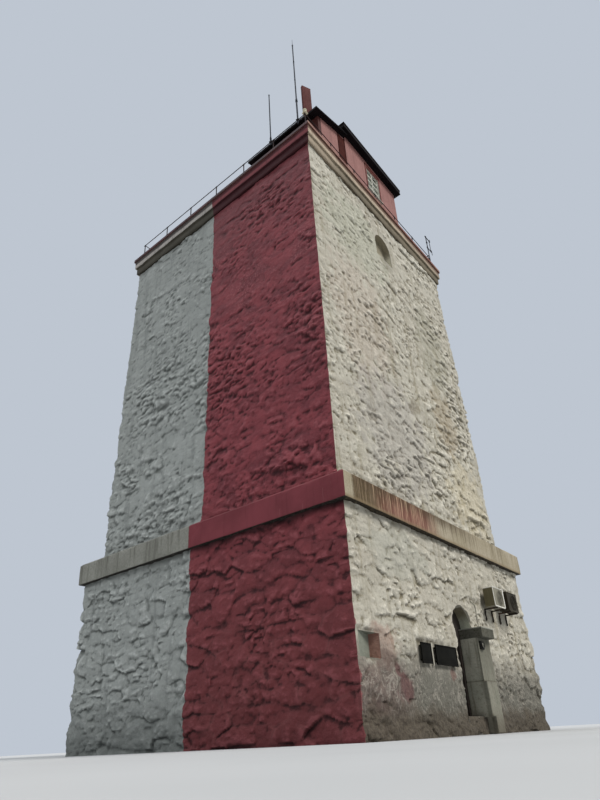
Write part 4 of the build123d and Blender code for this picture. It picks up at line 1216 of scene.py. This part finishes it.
# Corner lamp
# A pale cast housing on the front corner of the railing: a square foot, a ribbed drum and a lid.
lamp_cream = old_paint("lamp_cream", (206, 198, 172), (216, 210, 188), (150, 132, 100), 0.35, 0.5,
                       fineness=3.0, streaks=0.35)
lamp = [block((-0.085, -0.085, 0), (0.085, 0.085, 0.040), 0.012, 3),
        post(0, 0, 0.038, 0.205, 0.066, 28, edge=0.004),
        post(0, 0, 0.200, 0.222, 0.075, 28, edge=0.006),
        post(0, 0, 0.220, 0.250, 0.070, 28, 0.030, 0.008, 3)]
lamp += [post(0, 0, z, z + 0.010, 0.073, 28, edge=0.003) for z in (0.06, 0.095, 0.13, 0.165)]
lamp += [screw((x, y, 0.04), (x, y, 0.052), 0.009) for x in (-0.065, 0.065) for y in (-0.065, 0.065)]
gather("corner_lamp_housing", repeat(lamp, Matrix.Translation((RAIL_HALF, -RAIL_HALF, 20.907))),
       lamp_cream, "lamp_case", "corner_lamp")


# Entrance frame, leaf and fittings
# A frame of dark oak with an arched head, and a leaf of six upright boards on three ledges. The
# leaf hangs on two strap hinges and has a plain lever.
oak = Finish("dark_oak", 0.65)
grain, cloud = oak.noise(26, 5, stretch=(1, 1, 0.07), rough=0.6, twist=0.4), oak.noise(2.4, 3)
fibres = oak.node("ShaderNodeValToRGB", {"stops": (
    (0.0, srgb(24, 18, 15)), (0.5, srgb(40, 31, 26)), (1.0, srgb(54, 43, 35)))}, {0: grain.between(0.3, 0.7)})
muddy = cloud * 0.5 * (1 - oak.axes()[2].between(0.45, 1.6))
oak.set(Base_Color=oak.mix(muddy, fibres, (70, 62, 52)), Roughness=0.55 + grain * 0.25)
oak.relief(grain, 0.003)
dress(oak.material, "door_frame")
iron = old_paint("door_iron_paint", (34, 32, 32), (48, 44, 42), (92, 60, 44), 0.5, 0.5,
                 metallic=0.4, fineness=4.0)
dress(iron, "door_fittings")
LEAF_LOW, LEAF_HIGH, LEAF_Y, LEAF_END = 0.458, 2.440, -0.400, 0.460
board_width = (LEAF_END - LEAF_Y) / 6
board_middles = [LEAF_Y + (i + 0.5) * board_width for i in range(6)]
half_board = board_width / 2 - 0.0015
leaf = [block((4.958, y - half_board, LEAF_LOW), (4.990, y + half_board, LEAF_HIGH), 0.006)
        for y in board_middles]
leaf += [block((4.9405, LEAF_Y + 0.01, z), (4.960, LEAF_END - 0.01, z + 0.14), 0.005)
         for z in (0.56, 1.40, 2.22)]
gather("door_boards", leaf, oak.material, "door_wood", "door_leaf", body="door")
studs = [screw((4.988, y, z), (4.994, y, z), 0.010, 12, 0.006)
         for y in board_middles for z in (0.60, 0.66, 1.44, 1.50, 2.26, 2.32)]
gather("door_studs", studs, iron, "door_iron", body="door")


# Entrance pier and canopy
# A pier of rough render on a thicker plinth beside the doorway, and the heavy slab that it carries,
# dark with damp, with a strip of lead along its top.
def fused(blocks, grid, swell, size):
    """One lump of render with soft edges out of several blocks, trowelled uneven."""
    lump = joined([block(low, high) for low, high in blocks])
    shaped(lump, "REMESH", mode="VOXEL", voxel_size=grid)
    shaped(lump, "SMOOTH", factor=0.5, iterations=3)
    for depth, cell in ((swell, size), (swell * 0.45, size * 0.3)):
        clouds = bpy.data.textures.new("trowel_marks", "CLOUDS")
        clouds.noise_scale, clouds.noise_depth = cell, 2
        shaped(lump, "DISPLACE", texture=clouds, strength=depth, mid_level=0.55, texture_coords="LOCAL")
    return lump


pier_paint = Finish("pier_render_paint", 0.9, gloss=0.2)
x, z = pier_paint.axes()[::2]
cloud, grain = pier_paint.noise(1.8, 4), pier_paint.noise(19, 5, rough=0.62)
rain = pier_paint.noise(7, 4, stretch=(1, 1, 0.1), rough=0.62)
pier_paint.set(Base_Color=pier_paint.coats(
    pier_paint.mix(cloud.between(0.38, 0.62), (166, 166, 152), (182, 180, 166)),
    # The outer part of the pier is painted darker, more so higher up, as the shade under the canopy slab.
    (x.between(5.50, 5.57) * (0.55 + z.between(0.8, 2.4) * 0.3), (98, 97, 86)),
    (rain.between(0.48, 0.66) * 0.45, (92, 88, 74)),
    (grain.between(0.48, 0.72) * 0.4, (84, 80, 70)),
    ((1 - abs(z - 1.33).between(0.0, 0.05)) * 0.5, (66, 60, 50)),
    ((1 - z.between(0.1, 0.75)) * 0.65, (92, 84, 72))))
pier_paint.relief(grain * 0.6 + cloud * 0.4, 0.012)
RECESS_X, WALL_X, JAMB_Y, OUTER_Y, PIER_SIDE, PIER_END = 5.045, 5.340, 0.520, 0.740, 0.700, 1.370
PLINTH_FACE, PLINTH_TOP, PIER_FACE, HOOD_LOW, HOOD_TOP, HOOD_FACE = 5.670, 1.330, 5.580, 2.490, 2.765, 5.760
upper = fused((((RECESS_X, JAMB_Y, 1.300), (PIER_FACE, OUTER_Y, 2.500)),
               ((WALL_X, PIER_SIDE, 1.300), (PIER_FACE, PIER_END, 2.500))), 0.020, 0.022, 0.30)
plinth = fused((((RECESS_X, 0.490, 0.430), (PLINTH_FACE, OUTER_Y, PLINTH_TOP)),
                ((WALL_X, PIER_SIDE, 0.018), (PLINTH_FACE, 1.200, PLINTH_TOP))), 0.020, 0.022, 0.30)
gather("entrance_pier_render", [upper, plinth], pier_paint.material, "pier_render", "entrance_pier", angle=60)
hood = fused((((RECESS_X, JAMB_Y, HOOD_LOW), (HOOD_FACE, OUTER_Y, HOOD_TOP)),
              ((WALL_X, PIER_SIDE, HOOD_LOW), (HOOD_FACE, PIER_END, HOOD_TOP))), 0.018, 0.012, 0.22)
damp = old_paint("damp_concrete", (88, 88, 80), (100, 99, 90), (70, 68, 56), 0.7, 0.9, streaks=0.5)
gather("entrance_canopy_slab", [hood], damp, "pier_render", "entrance_canopy", angle=60)
lead_paint = old_paint("lead_strip_paint", (158, 158, 148), (172, 172, 162), (110, 108, 96), 0.5, 0.55,
                       fineness=2.0)
gather("canopy_lead_strip", [
    block((5.060, JAMB_Y - 0.008, 2.756), (HOOD_FACE + 0.008, JAMB_Y + 0.014, 2.784), 0.005),
    block((HOOD_FACE - 0.016, JAMB_Y - 0.008, 2.752), (HOOD_FACE + 0.008, PIER_END + 0.008, 2.784), 0.005),
    block((5.060, JAMB_Y, 2.764), (HOOD_FACE, PIER_END, 2.778), 0.004)], lead_paint, "pale_metal")


# Entrance lamp
# A square bulkhead lamp under the canopy: a dark cast case with a round glass behind four bars.
def round_axle(angle, reach, x, y=0, z=0):
    """A point at that angle and that far from an axle along X."""
    return (x, y + reach * math.cos(math.radians(angle)), z + reach * math.sin(math.radians(angle)))


lamp_place = Matrix.Translation((5.578, 0.720, 2.290))
lamp_dark = old_paint("lamp_dark", (22, 22, 21), (30, 30, 28), (58, 54, 48), 0.3, 0.5, fineness=4.0)
case = [block((0, -0.115, -0.115), (0.055, 0.115, 0.115), 0.022, 4),
        rod((0.050, 0, 0), (0.075, 0, 0), 0.098, 32, 0.090, 0.006)]
case += [rod(round_axle(angle, -0.080, 0.100), round_axle(angle, 0.080, 0.100), 0.005, 8)
         for angle in (0, 45, 90, 135)]
case += [screw((0.052, y, z), (0.060, y, z), 0.008) for y in (-0.094, 0.094) for z in (-0.094, 0.094)]
gather("entrance_lamp_case", repeat(case, lamp_place), lamp_dark, "lamp_case", "entrance_lamp")
milk = Finish("milky_glass", 0.25)
milk.set(Base_Color=milk.mix(milk.noise(9, 3), (118, 116, 104), (146, 144, 130)))
bowl = primitive(bpy.ops.mesh.primitive_uv_sphere_add, segments=32, ring_count=16, radius=0.072,
                 location=(0.060, 0, 0), scale=(0.55, 1, 1))
gather("entrance_lamp_glass", repeat([bowl], lamp_place), milk.material, "lamp_case")


# Notice boards
# Two blank sheet-metal boards in narrow frames, screwed to battens on the wall and nearly black,
# with a pale batten left over between them.
blank = old_paint("board_black", (20, 20, 18), (27, 27, 24), (38, 36, 32), 0.4, 0.9, fineness=1.6, streaks=0.3)
BOARD_LOW, BOARD_HIGH, FRAME_WIDTH = 1.640, 2.130, 0.034
pieces = []
for near, far in ((-1.960, -0.790), (-2.710, -2.200)):
    pieces.append(block((5.466, near + 0.012, BOARD_LOW + 0.012),
                        (5.488, far - 0.012, BOARD_HIGH - 0.012), 0.003))
    pieces += [block((5.460, near, z), (5.500, far, z + FRAME_WIDTH), 0.005)
               for z in (BOARD_LOW, BOARD_HIGH - FRAME_WIDTH)]
    pieces += [block((5.460, y, BOARD_LOW + 0.002), (5.499, y + FRAME_WIDTH, BOARD_HIGH - 0.002), 0.005)
               for y in (near, far - FRAME_WIDTH)]
    pieces += [block((5.396, near + 0.06, z), (5.462, far - 0.06, z + 0.040), 0.004) for z in (1.700, 2.030)]
    pieces += [screw((5.486, y, z), (5.493, y, z), 0.008, 10, 0.006)
               for y in (near + 0.07, (near + far) / 2, far - 0.07) for z in (1.720, 2.050)]
gather("notice_boards_framed", pieces, blank, "board_metal", "notice_boards")
pale_steel = old_paint("pale_steel", (168, 164, 152), (184, 180, 168), (122, 100, 78), 0.3, 0.5, fineness=2.5)
gather("pale_batten", [block((5.392, -2.105, 1.610), (5.452, -2.045, 2.160), 0.008)], pale_steel, "pale_metal")


# Cooling units
# Two boxes of folded sheet, each with a fan behind a wire guard, a finned side where the air goes
# in and a lid with a lip, standing on angle brackets bolted to the wall.
def near_and_far(name, near, far):
    """The near unit is pale and the far one painted nearly black, as painted shade."""
    f = Finish(name, 0.6, gloss=0.08)
    cloud, grain = f.noise(2.4, 4), f.noise(26, 5, rough=0.62)
    rain = f.noise(13, 4, stretch=(1, 1, 0.06), rough=0.65)
    # the far unit painted nearly black: painted shade
    f.set(Base_Color=f.coats(f.mix(f.axes()[1].between(2.62, 2.66), near, far),
                             (cloud * 0.3, (110, 104, 88)),
                             (rain.between(0.48, 0.68) * 0.3, (62, 54, 42)),
                             (grain.between(0.55, 0.72) * 0.3, (70, 62, 48))))
    f.relief(grain * 0.7 + cloud * 0.3, 0.003)
    return f.material


def two_of(name, parts, paint, *nodes):
    """Sets out the parts of one unit, drawn from its lower near corner at the wall, for both."""
    places = [Matrix.Translation((5.520, y, 3.500)) for y in (1.750, 2.880)]
    gather(name, repeat(parts, *places), paint, "unit_metal", *nodes)


casing_beige = near_and_far("unit_casing_paint", (146, 143, 130), (44, 41, 36))
fin_olive = near_and_far("unit_fin_paint", (108, 102, 78), (44, 40, 34))
trim_white = near_and_far("unit_trim_paint", (250, 248, 240), (62, 58, 50))
DEEP, WIDE, HIGH = 0.330, 0.830, 0.610
FAN_Y, FAN_Z, FAN_HOLE = 0.6 * WIDE, HIGH / 2, 0.236
case = cut(block((0.004, 0.012, 0.012), (DEEP - 0.010, WIDE - 0.004, HIGH - 0.020), 0.018, 3),
           rod((DEEP - 0.075, FAN_Y, FAN_Z), (DEEP + 0.05, FAN_Y, FAN_Z), FAN_HOLE, 48))
ring = cut(rod((DEEP - 0.014, FAN_Y, FAN_Z), (DEEP + 0.004, FAN_Y, FAN_Z), 0.256, 48),
           rod((DEEP - 0.05, FAN_Y, FAN_Z), (DEEP + 0.05, FAN_Y, FAN_Z), FAN_HOLE, 48))
feet = [block((0.02, y, 0), (DEEP - 0.02, y + 0.06, 0.014), 0.004) for y in (0.10, WIDE - 0.16)]
handle = block((DEEP - 0.014, 0.028, 0.20), (DEEP - 0.004, 0.070, 0.32), 0.005)
two_of("cooling_unit_casings", [case, eased(ring, 0.004), *feet, handle], casing_beige, "cooling_units")
two_of("cooling_unit_trims", [
    block((0, 0.002, HIGH - 0.026), (DEEP + 0.004, WIDE, HIGH), 0.009, 3),
    block((DEEP - 0.018, 0.004, 0.006), (DEEP - 0.002, 0.030, HIGH - 0.02), 0.004),
    block((DEEP - 0.018, WIDE - 0.064, 0.006), (DEEP - 0.002, WIDE - 0.004, HIGH - 0.02), 0.004),
    block((DEEP - 0.016, 0.004, 0.004), (DEEP - 0.002, WIDE - 0.004, 0.040), 0.004)], trim_white)
fins = [block((0.012, 0.001, z), (DEEP - 0.022, 0.020, z + 0.007), 0.002, 1)
        for z in np.linspace(0.04, HIGH - 0.06, 22)]
fins += [block((x, 0, 0.02), (x + 0.014, 0.018, HIGH - 0.03), 0.003) for x in (0.006, 0.150, DEEP - 0.034)]
fins.append(block((0.012, 0.005, 0.03), (DEEP - 0.022, 0.013, HIGH - 0.03), 0.002, 1))
two_of("cooling_unit_fins", fins, fin_olive)
guard = [primitive(bpy.ops.mesh.primitive_torus_add, major_segments=40, minor_segments=6, major_radius=radius,
                   minor_radius=0.0045, location=(DEEP + 0.002, FAN_Y, FAN_Z), rotation=(0, math.pi / 2, 0))
         for radius in (0.045, 0.072, 0.099, 0.126, 0.153, 0.180, 0.207, 0.228)]
guard += [rod(round_axle(angle, 0.040, DEEP - 0.001, FAN_Y, FAN_Z),
              round_axle(angle, 0.240, DEEP - 0.001, FAN_Y, FAN_Z), 0.0026, 6) for angle in range(0, 360, 30)]
guard += [screw(round_axle(angle, 0.246, DEEP - 0.004, FAN_Y, FAN_Z),
                round_axle(angle, 0.246, DEEP + 0.007, FAN_Y, FAN_Z), 0.008, 8) for angle in range(0, 360, 90)]
two_of("cooling_unit_guards", guard, casing_beige)
axle = (DEEP - 0.042, FAN_Y, FAN_Z)
hub = rod((DEEP - 0.055, FAN_Y, FAN_Z), (DEEP - 0.018, FAN_Y, FAN_Z), 0.052, 24, 0.044, 0.008, 3)
blade = block((DEEP - 0.046, FAN_Y - 0.055, FAN_Z + 0.035),
              (DEEP - 0.038, FAN_Y + 0.055, FAN_Z + 0.218), 0.003)
blades = repeat([blade], *[turned(angle, axle, "X") @ turned(24, axle) for angle in range(0, 360, 72)])
fan_grey = old_paint("fan_grey", (92, 90, 82), (104, 102, 94), (74, 70, 60), 0.4, 0.6, fineness=3.0)
two_of("cooling_unit_fans", [hub] + blades, fan_grey)
bracket_paint = old_paint("bracket_paint", (52, 48, 44), (66, 62, 56), (104, 70, 52), 0.5, 0.6, fineness=3.0)
dress(bracket_paint, "cooling_brackets")
two_of("cooling_bracket_bolts", [screw((-0.082, y, z), (-0.068, y, z), 0.013)
                                 for y in (0.15 * WIDE + 0.020, 0.85 * WIDE - 0.020)
                                 for z in (-0.310, -0.100)], bracket_paint)


# Cable pipe beside the doorway
# A thin pale pipe clipped to the wall, which comes down to the end of the canopy.
PIPE_X, PIPE_Y = 5.412, 1.205
pipe = [post(PIPE_X, PIPE_Y, 2.775, 3.520, 0.014, 12),
        rod((PIPE_X, PIPE_Y, 3.515), (PIPE_X, 0.90, 3.620), 0.014, 12)]
pipe += [post(PIPE_X, PIPE_Y, z, z + 0.03, 0.019, 12, edge=0.003) for z in (2.86, 3.15, 3.44)]
pipe.append(primitive(bpy.ops.mesh.primitive_uv_sphere_add, segments=12, ring_count=8, radius=0.0145,
                      location=(PIPE_X, PIPE_Y, 3.518)))
gather("wall_cable_pipe", pipe, pale_steel, "pale_metal")
